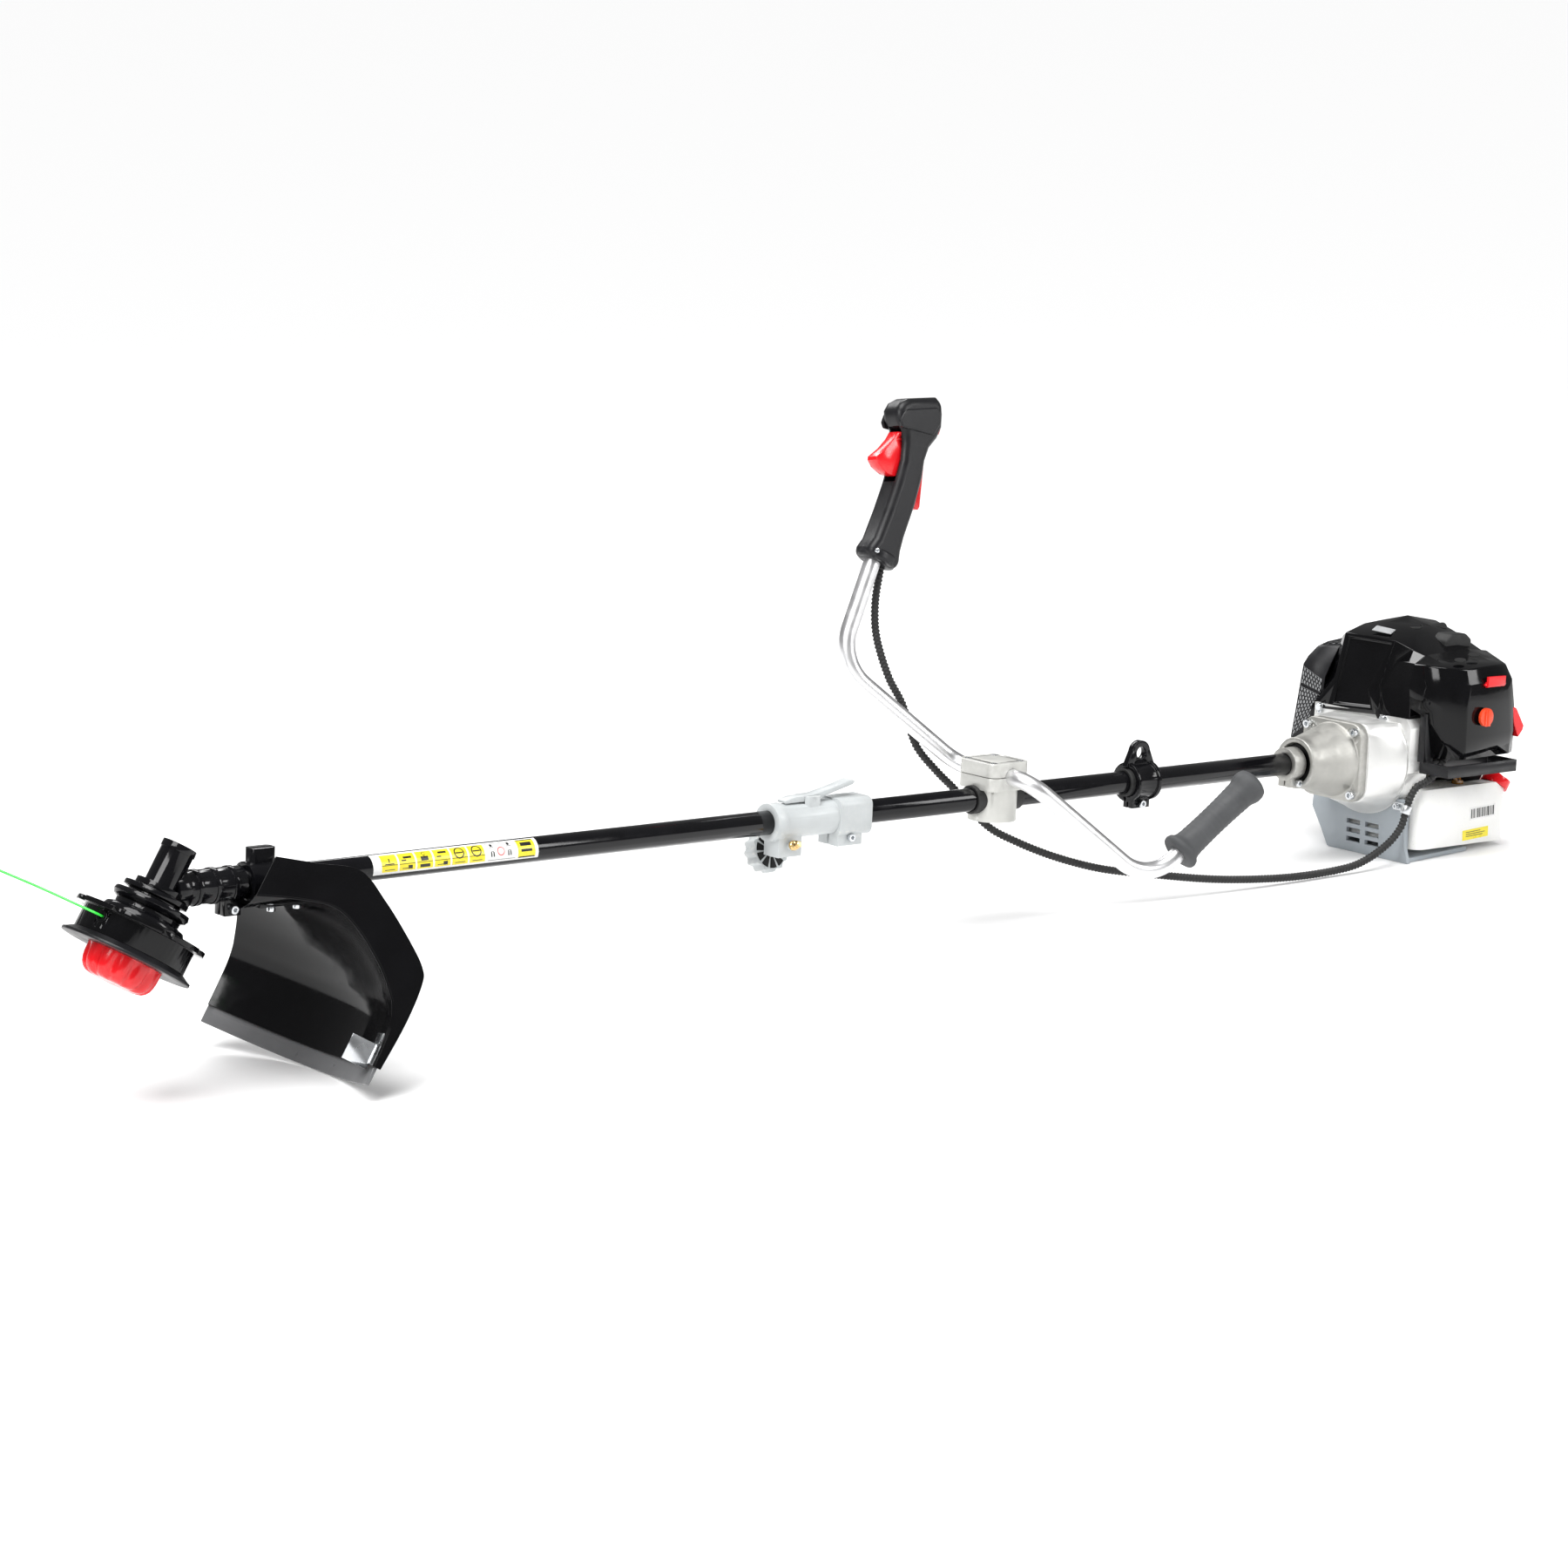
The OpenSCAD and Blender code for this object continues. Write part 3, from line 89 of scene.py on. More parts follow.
def area_light(name, place, target, size, power, size_y):
    data = bpy.data.lights.new(name, "AREA")
    data.energy = power
    data.shape = "RECTANGLE"
    data.size = size
    data.size_y = size_y
    o = bpy.data.objects.new(name, data)
    bpy.context.scene.collection.objects.link(o)
    o.location = place
    o.rotation_mode = "QUATERNION"
    o.rotation_quaternion = (Vector(target) - Vector(place)).to_track_quat("-Z", "Y")


MIDDLE = (0.9, 0, 0.15)
area_light("left", (3.4, 0.9, 1.9), MIDDLE, 1.2, 46, 1.2)
area_light("right", (-1.2, 2.6, 1.7), (0, 0, 0.15), 0.9, 40, 1.4)
area_light("back", (0.2, -2.6, 2.4), MIDDLE, 2.6, 46, 0.7)

# A broad sun keeps the floor evenly white all the way back
sun = bpy.data.lights.new("sun", "SUN")
sun.energy = 3.25
sun.angle = math.radians(42)
sun_object = bpy.data.objects.new("sun", sun)
sun_object.rotation_euler = (math.radians(-8), math.radians(14), 0)
bpy.context.scene.collection.objects.link(sun_object)

world = bpy.data.worlds.new("studio")
bpy.context.scene.world = world
world.use_nodes = True
background = world.node_tree.nodes["Background"]
background.inputs["Color"].default_value = (1.0, 1.0, 1.0, 1)
background.inputs["Strength"].default_value = 0.2
bpy.context.scene.view_settings.view_transform = "Standard"

# ------------------------------------------------------------------ materials


def new_material(name):
    m = bpy.data.materials.new(name)
    m.use_nodes = True
    tree = m.node_tree
    return m, tree, tree.nodes["Principled BSDF"]


def link(tree, a, b):
    tree.links.new(a, b)


def noise(tree, scale, detail, coordinates=None, distortion=0.0):
    n = tree.nodes.new("ShaderNodeTexNoise")
    n.inputs["Scale"].default_value = scale
    n.inputs["Detail"].default_value = detail
    n.inputs["Distortion"].default_value = distortion
    if coordinates:
        link(tree, coordinates, n.inputs["Vector"])
    return n


def map_range(tree, value, a, b, lo, hi):
    n = tree.nodes.new("ShaderNodeMapRange")
    n.inputs["From Min"].default_value = a
    n.inputs["From Max"].default_value = b
    n.inputs["To Min"].default_value = lo
    n.inputs["To Max"].default_value = hi
    link(tree, value, n.inputs["Value"])
    return n.outputs["Result"]


def mix(tree, factor, a, b):
    n = tree.nodes.new("ShaderNodeMix")
    n.data_type = "RGBA"
    link(tree, factor, n.inputs[0])
    for value, socket in ((a, n.inputs[6]), (b, n.inputs[7])):
        if isinstance(value, tuple):
            socket.default_value = (*value, 1)
        else:
            link(tree, value, socket)
    return n.outputs[2]


def scaled(color, k):
    return tuple(min(1.0, c * k) for c in color)


def surface(
    name, color, rough, metal=0.0, coat=0.0, tint=0.25, tint_scale=30, rough_span=0.08,
    rough_scale=60, grain=0.0, grain_scale=900, grain_depth=0.0002, wear=None, stretch=None,
    specular=0.5,
):
    """A procedural finish: cloudy tint and roughness, fine grain, and wear on the edges."""
    m, tree, shader = new_material(name)
    nodes = tree.nodes
    place = nodes.new("ShaderNodeTexCoord").outputs["Object"]
    if stretch:
        mapping = nodes.new("ShaderNodeMapping")
        mapping.inputs["Scale"].default_value = stretch
        link(tree, place, mapping.inputs["Vector"])
        place = mapping.outputs["Vector"]
    cloud = noise(tree, tint_scale, 5, place)
    factor = map_range(tree, cloud.outputs["Fac"], 0.3, 0.7, 0, 1)
    base = mix(tree, factor, scaled(color, 1 - tint), scaled(color, 1 + tint))
    if wear:
        geometry = nodes.new("ShaderNodeNewGeometry")
        scratch = noise(tree, 220, 6, place)
        edge = map_range(tree, geometry.outputs["Pointiness"], 0.53, 0.62, 0, 1)
        product = nodes.new("ShaderNodeMath")
        product.operation = "MULTIPLY"
        link(tree, edge, product.inputs[0])
        link(tree, map_range(tree, scratch.outputs["Fac"], 0.45, 0.65, 0, 1), product.inputs[1])
        base = mix(tree, product.outputs[0], base, wear)
    link(tree, base, shader.inputs["Base Color"])
    smudge = noise(tree, rough_scale, 6, place, 0.4)
    span = map_range(
        tree, smudge.outputs["Fac"], 0.3, 0.7, max(0.02, rough - rough_span), rough + rough_span
    )
    link(tree, span, shader.inputs["Roughness"])
    shader.inputs["Metallic"].default_value = metal
    shader.inputs["Coat Weight"].default_value = coat
    shader.inputs["Coat Roughness"].default_value = 0.04
    shader.inputs["IOR"].default_value = 1.5
    shader.inputs["Specular IOR Level"].default_value = specular
    if grain:
        bump = nodes.new("ShaderNodeBump")
        bump.inputs["Strength"].default_value = grain
        bump.inputs["Distance"].default_value = grain_depth
        link(tree, noise(tree, grain_scale, 8, place).outputs["Fac"], bump.inputs["Height"])
        link(tree, bump.outputs["Normal"], shader.inputs["Normal"])
    return m


MATS = {
    "black_enamel": surface(
        "black enamel", (0.004, 0.004, 0.005), 0.12, specular=0.3, tint=0.2, grain=0.08,
        grain_scale=500, grain_depth=0.0003, rough_span=0.05,
    ),
    "steel": surface("steel", (0.42, 0.42, 0.44), 0.32, metal=1, stretch=(1, 8, 8), grain=0.15),
    "zinc": surface("zinc", (0.66, 0.68, 0.70), 0.26, metal=1, tint=0.12, grain=0.1),
    "bronze": surface("bronze", (0.44, 0.30, 0.13), 0.35, metal=1, grain=0.2),
    "cast_grey": surface(
        "grey paint", (0.5, 0.525, 0.53), 0.36, tint=0.06, grain=0.25, grain_scale=1400,
        wear=(0.62, 0.62, 0.60),
    ),
    "cast_raw": surface(
        "raw casting", (0.44, 0.435, 0.41), 0.5, metal=0.85, tint=0.14, grain=0.5,
        grain_scale=1300, grain_depth=0.0004, wear=(0.75, 0.75, 0.73), rough_span=0.12,
    ),
    "bar_aluminium": surface(
        "bar aluminium", (0.86, 0.86, 0.87), 0.36, metal=1, tint=0.05, rough_span=0.05,
        grain=0.05, grain_scale=300,
    ),
    "black_plastic": surface(
        "black plastic", (0.009, 0.009, 0.0105), 0.38, specular=0.35, tint=0.2, grain=0.3,
        grain_scale=2200, rough_span=0.07,
    ),
    "gloss_plastic": surface(
        "gloss black plastic", (0.003, 0.003, 0.0035), 0.1, specular=0.25, tint=0.2, grain=0.03,
        grain_scale=240, grain_depth=0.0004, rough_span=0.06,
    ),
    "dark_rubber": surface(
        "grey rubber", (0.055, 0.057, 0.06), 0.62, tint=0.2, grain=0.4, grain_scale=1800,
    ),
    "black_rubber": surface("black rubber", (0.012, 0.012, 0.012), 0.6, grain=0.35),
    "red_plastic": surface(
        "red plastic", (0.72, 0.007, 0.012), 0.2, tint=0.08, grain=0.08, grain_scale=1200,
        rough_span=0.06,
    ),
    "orange_plastic": surface("orange plastic", (0.75, 0.06, 0.015), 0.33, tint=0.1, grain=0.15),
    "stand_plastic": surface(
        "stand plastic", (0.34, 0.375, 0.405), 0.42, tint=0.06, grain=0.4, grain_scale=1500,
    ),
    "green_line": surface("green nylon", (0.03, 0.62, 0.05), 0.2, tint=0.1, grain=0.1),
    "hose": surface("fuel hose", (0.33, 0.15, 0.02), 0.15, tint=0.2, coat=0.4, grain=0.1),
    "felt": surface("felt", (0.07, 0.07, 0.08), 0.9, tint=0.3, grain=0.8, grain_scale=700),
}


def translucent_tank():
    m, tree, shader = new_material("tank plastic")
    place = tree.nodes.new("ShaderNodeTexCoord").outputs["Object"]
    cloud = noise(tree, 18, 4, place)
    factor = map_range(tree, cloud.outputs["Fac"], 0.35, 0.65, 0, 1)
    link(
        tree, mix(tree, factor, (0.88, 0.88, 0.86), (0.94, 0.94, 0.92)),
        shader.inputs["Base Color"],
    )
    speck = noise(tree, 500, 5, place)
    link(
        tree, map_range(tree, speck.outputs["Fac"], 0.3, 0.7, 0.26, 0.4),
        shader.inputs["Roughness"],
    )
    shader.inputs["Subsurface Weight"].default_value = 0.35
    shader.inputs["Subsurface Radius"].default_value = (0.01, 0.01, 0.009)
    shader.inputs["Transmission Weight"].default_value = 0.06
    bump = tree.nodes.new("ShaderNodeBump")
    bump.inputs["Strength"].default_value = 0.2
    bump.inputs["Distance"].default_value = 0.0003
    link(tree, noise(tree, 120, 3, place).outputs["Fac"], bump.inputs["Height"])
    link(tree, bump.outputs["Normal"], shader.inputs["Normal"])
    return m


MATS["tank_plastic"] = translucent_tank()
MATS["label_white"] = surface("white label", (0.82, 0.82, 0.81), 0.3, tint=0.04, grain=0.05)
MATS["label_yellow"] = surface("yellow label", (0.86, 0.73, 0.03), 0.3, tint=0.06, grain=0.05)
MATS["label_ink"] = surface("label ink", (0.015, 0.015, 0.015), 0.35, tint=0.1, grain=0.05)
MATS["label_red"] = surface("label red", (0.7, 0.06, 0.05), 0.35, tint=0.1, grain=0.05)
# A near-black, rough finish of painted shade, laid on flat sheets where holes and pockets would be
# dark
MATS["painted_shade"] = surface("painted shade", (0.003, 0.003, 0.003), 0.8, tint=0.1, grain=0.2)
MATS["fresh_casting"] = surface(
    "machined casting", (0.78, 0.78, 0.765), 0.4, metal=0.7, tint=0.06, grain=0.3,
    grain_scale=1200, wear=(0.9, 0.9, 0.9),
)
MATS["clamp_casting"] = surface(
    "clamp casting", (0.58, 0.58, 0.55), 0.4, metal=0.3, tint=0.08, grain=0.4,
    grain_scale=1300, wear=(0.75, 0.75, 0.73),
)
MATS["skirt_plastic"] = surface(
    "skirt plastic", (0.13, 0.132, 0.136), 0.35, tint=0.05, grain=0.1, grain_scale=900,
)
MATS["brass"] = surface("brass", (0.72, 0.5, 0.22), 0.25, metal=1, tint=0.1, grain=0.1)
MATS["badge"] = surface("badge", (0.5, 0.51, 0.52), 0.35, metal=0.4, tint=0.15, grain=0.15)

SLOT_OF = {s["node"]: s["material_slot"] for s in frame["record"]["subparts"]}

# ------------------------------------------------------------------ mesh tools


def dress(o, material, bevel=0.0):
    """Gives a piece its material, soft edges and smooth shading."""
    o.data.materials.clear()
    o.data.materials.append(MATS[material])
    if bevel:
        weld = o.modifiers.new("weld", "WELD")
        weld.merge_threshold = 0.00002
        edge = o.modifiers.new("bevel", "BEVEL")
        edge.width = bevel * 0.001
        edge.segments = 2
        edge.limit_method = "ANGLE"
        edge.angle_limit = math.radians(30)
        edge.use_clamp_overlap = True
        edge.harden_normals = True
    for p in o.data.polygons:
        p.use_smooth = True


def sharpen(o, degrees):
    """Marks the edges sharper than an angle, which stay crisp."""
    bm = bmesh.new()
    bm.from_mesh(o.data)
    bmesh.ops.recalc_face_normals(bm, faces=bm.faces)
    for e in bm.edges:
        e.smooth = len(e.link_faces) != 2 or e.calc_face_angle(0) <= math.radians(degrees)
    for f in bm.faces:
        f.smooth = True
    bm.to_mesh(o.data)
    bm.free()


def piece(name, verts, faces, place, body, material, replaces=(), bevel=0.0, crisp=38):
    """A mesh piece in a local frame, riding a body and standing for the nodes it replaces."""
    mesh = bpy.data.meshes.new(name)
    mesh.from_pydata([tuple(place @ Vector(v)) for v in verts], [], faces)
    mesh.update()
    o = bpy.data.objects.new(name, mesh)
    bpy.context.scene.collection.objects.link(o)
    sharpen(o, crisp)
    dress(o, material, bevel)
    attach(o, body)
    if replaces:
        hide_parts(*replaces)
    return o


def loop_faces(rows, n, closed_ends=True):
    """Quads between rows of n points, with the first and last rows capped or left open."""
    faces = []
    for i in range(rows - 1):
        for k in range(n):
            m = (k + 1) % n
            faces.append((i * n + k, (i + 1) * n + k, (i + 1) * n + m, i * n + m))
    if closed_ends:
        faces.append(tuple(range(n - 1, -1, -1)))
        faces.append(tuple((rows - 1) * n + k for k in range(n)))
    return faces


def lathe(profile, segments, radius=None):
    """Revolves (r, z) points round local Z. radius(r, z, angle) may alter a point's radius."""
    verts = []
    for r, z in profile:
        for k in range(segments):
            a = math.radians(360 * k / segments)
            rr = radius(r, z, math.degrees(a)) if radius else r
            verts.append((rr * math.cos(a), rr * math.sin(a), z))
    return verts, loop_faces(len(profile), segments)


def tube(path, radius, sides):
    """Sweeps a circle along points. radius is a number or a function of the distance run."""
    pts = [Vector(p) for p in path]
    run = [0.0]
    for a, b in zip(pts, pts[1:]):
        run.append(run[-1] + (b - a).length)
    verts, side = [], None
    for i, p in enumerate(pts):
        t = (pts[min(i + 1, len(pts) - 1)] - pts[max(i - 1, 0)]).normalized()
        if side is None:
            side = Vector((0, 0, 1)) if abs(t.z) < 0.9 else Vector((0, 1, 0))
        side = (side - t * side.dot(t)).normalized()
        other = t.cross(side)
        r = radius(run[i]) if callable(radius) else radius
        for k in range(sides):
            a = 2 * math.pi * k / sides
            verts.append(p + r * (math.cos(a) * side + math.sin(a) * other))
    return verts, loop_faces(len(pts), sides)


def smooth_path(points, steps):
    """A smooth curve through every point, with some steps between each two."""
    p = [Vector(q) for q in points]
    out = []
    for i in range(len(p) - 1):
        a, b, c, d = p[max(i - 1, 0)], p[i], p[i + 1], p[min(i + 2, len(p) - 1)]
        for k in range(steps):
            t = k / steps
            out.append(
                b + t / 2 * (c - a) + t * t / 2 * (2 * a - 5 * b + 4 * c - d)
                + t * t * t / 2 * (3 * b - a - 3 * c + d)
            )
    out.append(p[-1])
    return out


def resample(path, step):
    """Points a fixed distance apart along a path."""
    out, carry = [path[0]], 0.0
    for a, b in zip(path, path[1:]):
        length = (b - a).length
        d = step - carry
        while d < length:
            out.append(a.lerp(b, d / length))
            d += step
        carry = length - (d - step)
    out.append(path[-1])
    return out


def bend(a, b, c, r, n):
    """The arc of radius r that rounds the corner at b between a and c."""
    a, b, c = Vector(a), Vector(b), Vector(c)
    u, v = (a - b).normalized(), (c - b).normalized()
    half = u.angle(v) / 2
    m = b + (u + v).normalized() * r / math.sin(half)
    e1, e2 = (b - m).normalized(), (v - u).normalized()
    total = math.pi - 2 * half
    angles = [total * (i / n - 0.5) for i in range(n + 1)]
    return [m + r * (e1 * math.cos(t) + e2 * math.sin(t)) for t in angles]


# ------------------------------------------------------------------ CAD nodes in their finishes

BEVELS = {
    "fuel_tank": 3.0, "fan_housing": 1.2, "clutch_case": 1.5, "stand": 0.8, "gear_case": 1.2,
    "coupler_body": 1.0, "handle_clamp_base": 2.0, "handle_clamp_cap": 2.5,
    "guard_bracket": 1.2, "harness_ring": 1.0, "throttle_trigger": 2.0, "lockout_lever": 1.5,
    "coupler_lever": 1.0, "fuel_cap": 1.0, "choke_knob": 0.6, "filter_latch": 0.8,
    "recoil_handle": 1.0, "guard_skirt": 0.8,
}
SMALL_BEVEL = 0.4
FINISH = {
    "fan_housing": "fresh_casting", "handle_clamp_base": "clamp_casting",
    "handle_clamp_cap": "clamp_casting", "guard_skirt": "skirt_plastic",
    "head_housing": "gloss_plastic",
}
UNBEVELLED = {"throttle_conduit", "cutting_line", "fuel_lines", "handlebar", "guard_shell"}
for node, o in NODES.items():
    bevel = 0 if node in UNBEVELLED else BEVELS.get(node, SMALL_BEVEL)
    dress(o, FINISH.get(node, SLOT_OF[node]), bevel=bevel)

# ------------------------------------------------------------------ handlebar and its grips

BAR_X, BAR_Z, BAR_HALF, ARM = 604, 27, 58, 191
BAR_RADIUS, CLAMP_BEND, GRIP_BEND, BEND_STEPS = 9.5, 34, 52, 24


def lean(a, b, degrees):
    """The direction some degrees round from a towards b."""
    return math.cos(math.radians(degrees)) * a + math.sin(math.radians(degrees)) * b


def swing(degrees):
    """A direction in the shaft's upright plane, measured from the shaft upwards."""
    return Vector((math.cos(math.radians(degrees)), 0, math.sin(math.radians(degrees))))


def arm_dir(side):
    return lean(Vector((0, side, 0)), -side * swing(40), 75)


def grip_dir(side):
    flat = lean(Vector((0, side, 0)), -side * swing(40), 59)
    return lean(flat, swing(130), 76)


def bend_end(side):
    return Vector((BAR_X, side * BAR_HALF, BAR_Z)) + ARM * arm_dir(side)


def half_bar(side, length):
    """One side of the bar, from the clamp out to the end of its upright grip."""
    a = Vector((BAR_X, side * BAR_HALF, BAR_Z))
    b = bend_end(side)
    c = b + length * grip_dir(side)
    inner = bend((BAR_X, 0, BAR_Z), a, b, CLAMP_BEND, BEND_STEPS)
    return inner + bend(a, b, c, GRIP_BEND, BEND_STEPS) + [c]


bar_path = list(reversed(half_bar(-1, 190))) + half_bar(1, 160)
verts, faces = tube(bar_path, BAR_RADIUS, 48)
piece("bar", verts, faces, SHAFT, "frame", "bar_aluminium", ["handlebar"])

THROTTLE = along(bend_end(-1), grip_dir(-1))
GRIP = along(bend_end(1), grip_dir(1))


def grip_profile():
    """A flared foot, then ripples on a gently waisted grip, then a domed end."""
    base = 50
    points = [(9.6, base), (19, base), (21.6, base + 1.5), (22.4, base + 4.5), (21.4, base + 8)]
    points += [(18.4, base + 11), (16.8, base + 16)]
    for i in range(1, 34):
        z = base + 16 + i * 2.6
        ripple = 0.33 * (1 + math.cos(2 * math.pi * (z - base) / 6.5))
        swell = 15.3 + 1.6 * ((z - base - 55) / 50) ** 2
        points.append((swell + ripple, z))
    points += [(17.6, base + 106), (19.2, base + 110), (20.0, base + 114), (19.8, base + 119)]
    points += [(18.2, base + 123.5), (14.5, base + 125.8), (6, base + 126), (0.5, base + 126)]
    return points


verts, faces = lathe(grip_profile(), 56)
piece(
    "ribbed_grip", verts, faces, GRIP, "frame", "dark_rubber", ["plain_grip"],
    crisp=60,
)

# ------------------------------------------------------------------ conduit and line

# The conduit's route along the shaft frame, from the throttle handle to the engine
CONDUIT = [
    (670.5, -124.5, 256), (675, -124, 243), (684, -120, 205), (684, -115, 168), (673, -105, 125),
    (657, -97, 93), (645, -85.5, 49), (624, -73, 20), (600, -64, -4), (568, -48, -42),
    (534, -34, -62), (485, -18, -82), (428, -2, -98), (368, 14, -107), (293, 30, -117),
    (232, 42, -121.5), (168, 52, -123), (107, 60, -120), (68, 66, -113), (29, 69, -95),
    (8, 71, -75), (3, 73, -54), (-2, 75, -38), (-9, 77, -27), (-20, 80, -22), (-32, 84, -12),
    (-40, 87, 2), (-44, 88, 12),
]
PITCH, CONDUIT_RADIUS, RIPPLE = 4.4, 4.2, 0.6


def corrugated(run):
    return CONDUIT_RADIUS + RIPPLE * math.cos(2 * math.pi * run / PITCH)


conduit_path = resample(smooth_path(CONDUIT, 8), PITCH / 5)
verts, faces = tube(conduit_path, corrugated, 14)
piece(
    "corrugated_conduit", verts, faces, SHAFT, "frame", "black_rubber",
    ["throttle_conduit"], crisp=80,
)

# The free line, from the eyelet in the head outwards
LINE = [
    (46, 0, 47), (54, 0, 47), (61, 1, 47), (66, 8, 47), (72, 22, 47), (88, 62, 47),
    (104, 100, 48), (114, 130, 48),
]
LINE_RADIUS = 1.2
verts, faces = tube(smooth_path(LINE, 10), LINE_RADIUS, 14)
piece(
    "nylon_line", verts, faces, HEAD @ turn(162, "Z"), "head", "green_line",
    ["cutting_line"], crisp=60,
)

# ------------------------------------------------------------------ guard

# The hood's section: reach from the head's axis, place along it, and how far that place moves
# back 32 degrees round. The lip's outer edge has only the first two.
GUARD = [
    (86, -24, 18), (125, -46, 10), (160, -60, 3), (190, -52, 1), (222, -32, 0), (242, -13, 0),
    (252, 0, 0), (258, 20, 0), (260, 60, 0),
]
LIP = [
    (86, -80), (125, -92), (165, -104), (200, -88), (236, -65), (260, -46), (267, -30), (269, 10),
    (266, 60),
]
guard_line = smooth_path(GUARD, 6)
lip_line = smooth_path(LIP, 6)


def guard_point(i, a, inset):
    """Point i of the hood's section at a degrees round the head, some mm inside its skin."""
    p = guard_line[i]
    f = 1 - i / (len(guard_line) - 1)
    r = p.x - inset * (1 - 0.5 * f)
    s = p.y - p.z * (a / 32) ** 2 + inset * f
    t = math.radians(a)
    return (r * math.cos(t), r * math.sin(t), s)


GUARD_FROM, GUARD_SPAN, GUARD_WALL = -35, 65, 3


def guard_mesh():
    """The hood as an outer skin and an inner one, joined along the rims and the ends."""
    n = len(guard_line)
    steps = 56
    angles = [GUARD_FROM + GUARD_SPAN * k / steps for k in range(steps + 1)]
    verts = [guard_point(i, a, 0) for a in angles for i in range(n)]
    verts += [guard_point(i, a, GUARD_WALL) for a in angles for i in reversed(range(n))]
    size = n * (steps + 1)
    faces = []
    for k in range(steps):
        for i in range(n - 1):
            a, b = k * n + i, (k + 1) * n + i
            faces.append((a, a + 1, b + 1, b))
            faces.append((size + a, size + a + 1, size + b + 1, size + b))
        faces.append((k * n + n - 1, size + k * n, size + (k + 1) * n, (k + 1) * n + n - 1))
        faces.append((k * n, (k + 1) * n, size + (k + 1) * n + n - 1, size + k * n + n - 1))
    for k in (0, steps):
        first = k * n
        for i in range(n - 1):
            q = size + first + n - 1 - i
            faces.append((first + i, first + i + 1, q - 1, q))
    return verts, faces


verts, faces = guard_mesh()
piece(
    "guard_hood", verts, faces, HEAD, "frame", "gloss_plastic",
    ["guard_shell"], bevel=0.6,
)


def lip_mesh():
    """The upright plate that closes the hood's end, between its section and the lip line."""
    n = len(lip_line)
    sides = []
    for a in (30.05, 29.35):
        t = math.radians(a)
        foot = [guard_point(i, a, 1) for i in range(n)]
        rim = [(p.x * math.cos(t), p.x * math.sin(t), p.y) for p in lip_line]
        sides.append((foot, rim))
    (near_foot, near_rim), (far_foot, far_rim) = sides
    verts = []
    for i in range(n):
        verts += [near_foot[i], near_rim[i], far_rim[i], far_foot[i]]
    return verts, loop_faces(n, 4)


verts, faces = lip_mesh()
piece(
    "guard_lip", verts, faces, HEAD, "frame", "gloss_plastic", bevel=0.8,
)

# ------------------------------------------------------------------ engine covers


def add_wall(o, thickness, offset):
    """Thickens a skin. The offset is -1 for a wall inside it, 0 for one on both sides."""
    wall = o.modifiers.new("wall", "SOLIDIFY")
    wall.thickness = thickness * 0.001
    wall.offset = offset


def faceted(name, points, faces, slot, replaced, bevel, thickness, offset=-1):
    """A moulded cover from named points in the floor frame, with soft edges and a real wall."""
    at = {k: i for i, k in enumerate(points)}
    o = piece(
        name, list(points.values()), [tuple(at[k] for k in f.split()) for f in faces],
        FLOOR, "frame", slot, [replaced], bevel=bevel, crisp=180,
    )
    add_wall(o, thickness, offset)


# Each cover is a set of named corner points in mm, and the faces that join them in order
SHROUD = {
    "tl": (-25, -60, 259), "tr": (-25, 21, 260), "mr": (-12, 1, 202), "ml": (-14, -65, 206),
    "wl": (-8, -80, 182), "wl2": (-5, -95, 167), "ll": (-4, -97, 151), "bl": (-1, -75, 167),
    "br1": (-1, 14, 172.6), "br2": (-1, 21, 160), "bs": (-2, 34, 160), "wt": (-7, 61, 162.6),
    "ri": (-4, 12, 188), "rt": (-14, 11, 203.5), "ro": (-8, 25, 184.5), "rb": (-5, 53.6, 163.6),
    "r1": (-24, -54, 255), "r2": (-23.5, 15, 256), "r3": (-10, -8, 197), "r4": (-12, -58, 203),
    "r5": (-5, -58, 175), "r6": (-4, 2, 179),
    "q1": (-27, -53, 254), "q2": (-26.5, 14, 255), "q3": (-13.5, -9, 198), "q4": (-15.5, -57, 203),
    "q5": (-9, -57, 176), "q6": (-8, 1, 180),
    "s1": (-26, 24, 236), "s2": (-36, 40, 250), "e": (-17, 60, 238), "f": (-9, 60, 210),
    "g": (-10, 60, 187),
    "l2": (-60, -62, 266), "l3": (-95, -62, 267), "l4": (-142, -60, 255),
    "m1": (-60, -22, 273), "m2": (-90, -20, 278), "m3": (-142, -20, 266),
    "n1": (-60, 20, 264), "n2": (-100, 14, 266), "n3": (-142, 10, 257),
    "c1": (-34, 61, 246), "c2": (-103, 61, 245), "c3": (-142, 58, 238), "d1": (-40, 61, 165),
    "d2": (-104, 61, 170), "d3": (-142, 58, 226),
    "la": (-40, -78, 252), "lb": (-28, -84, 206), "lc": (-20, -97, 167), "ld": (-20, -98, 151),
    "le": (-142, -78, 244), "lf": (-142, -89, 226), "lg": (-106, -92, 170),
}
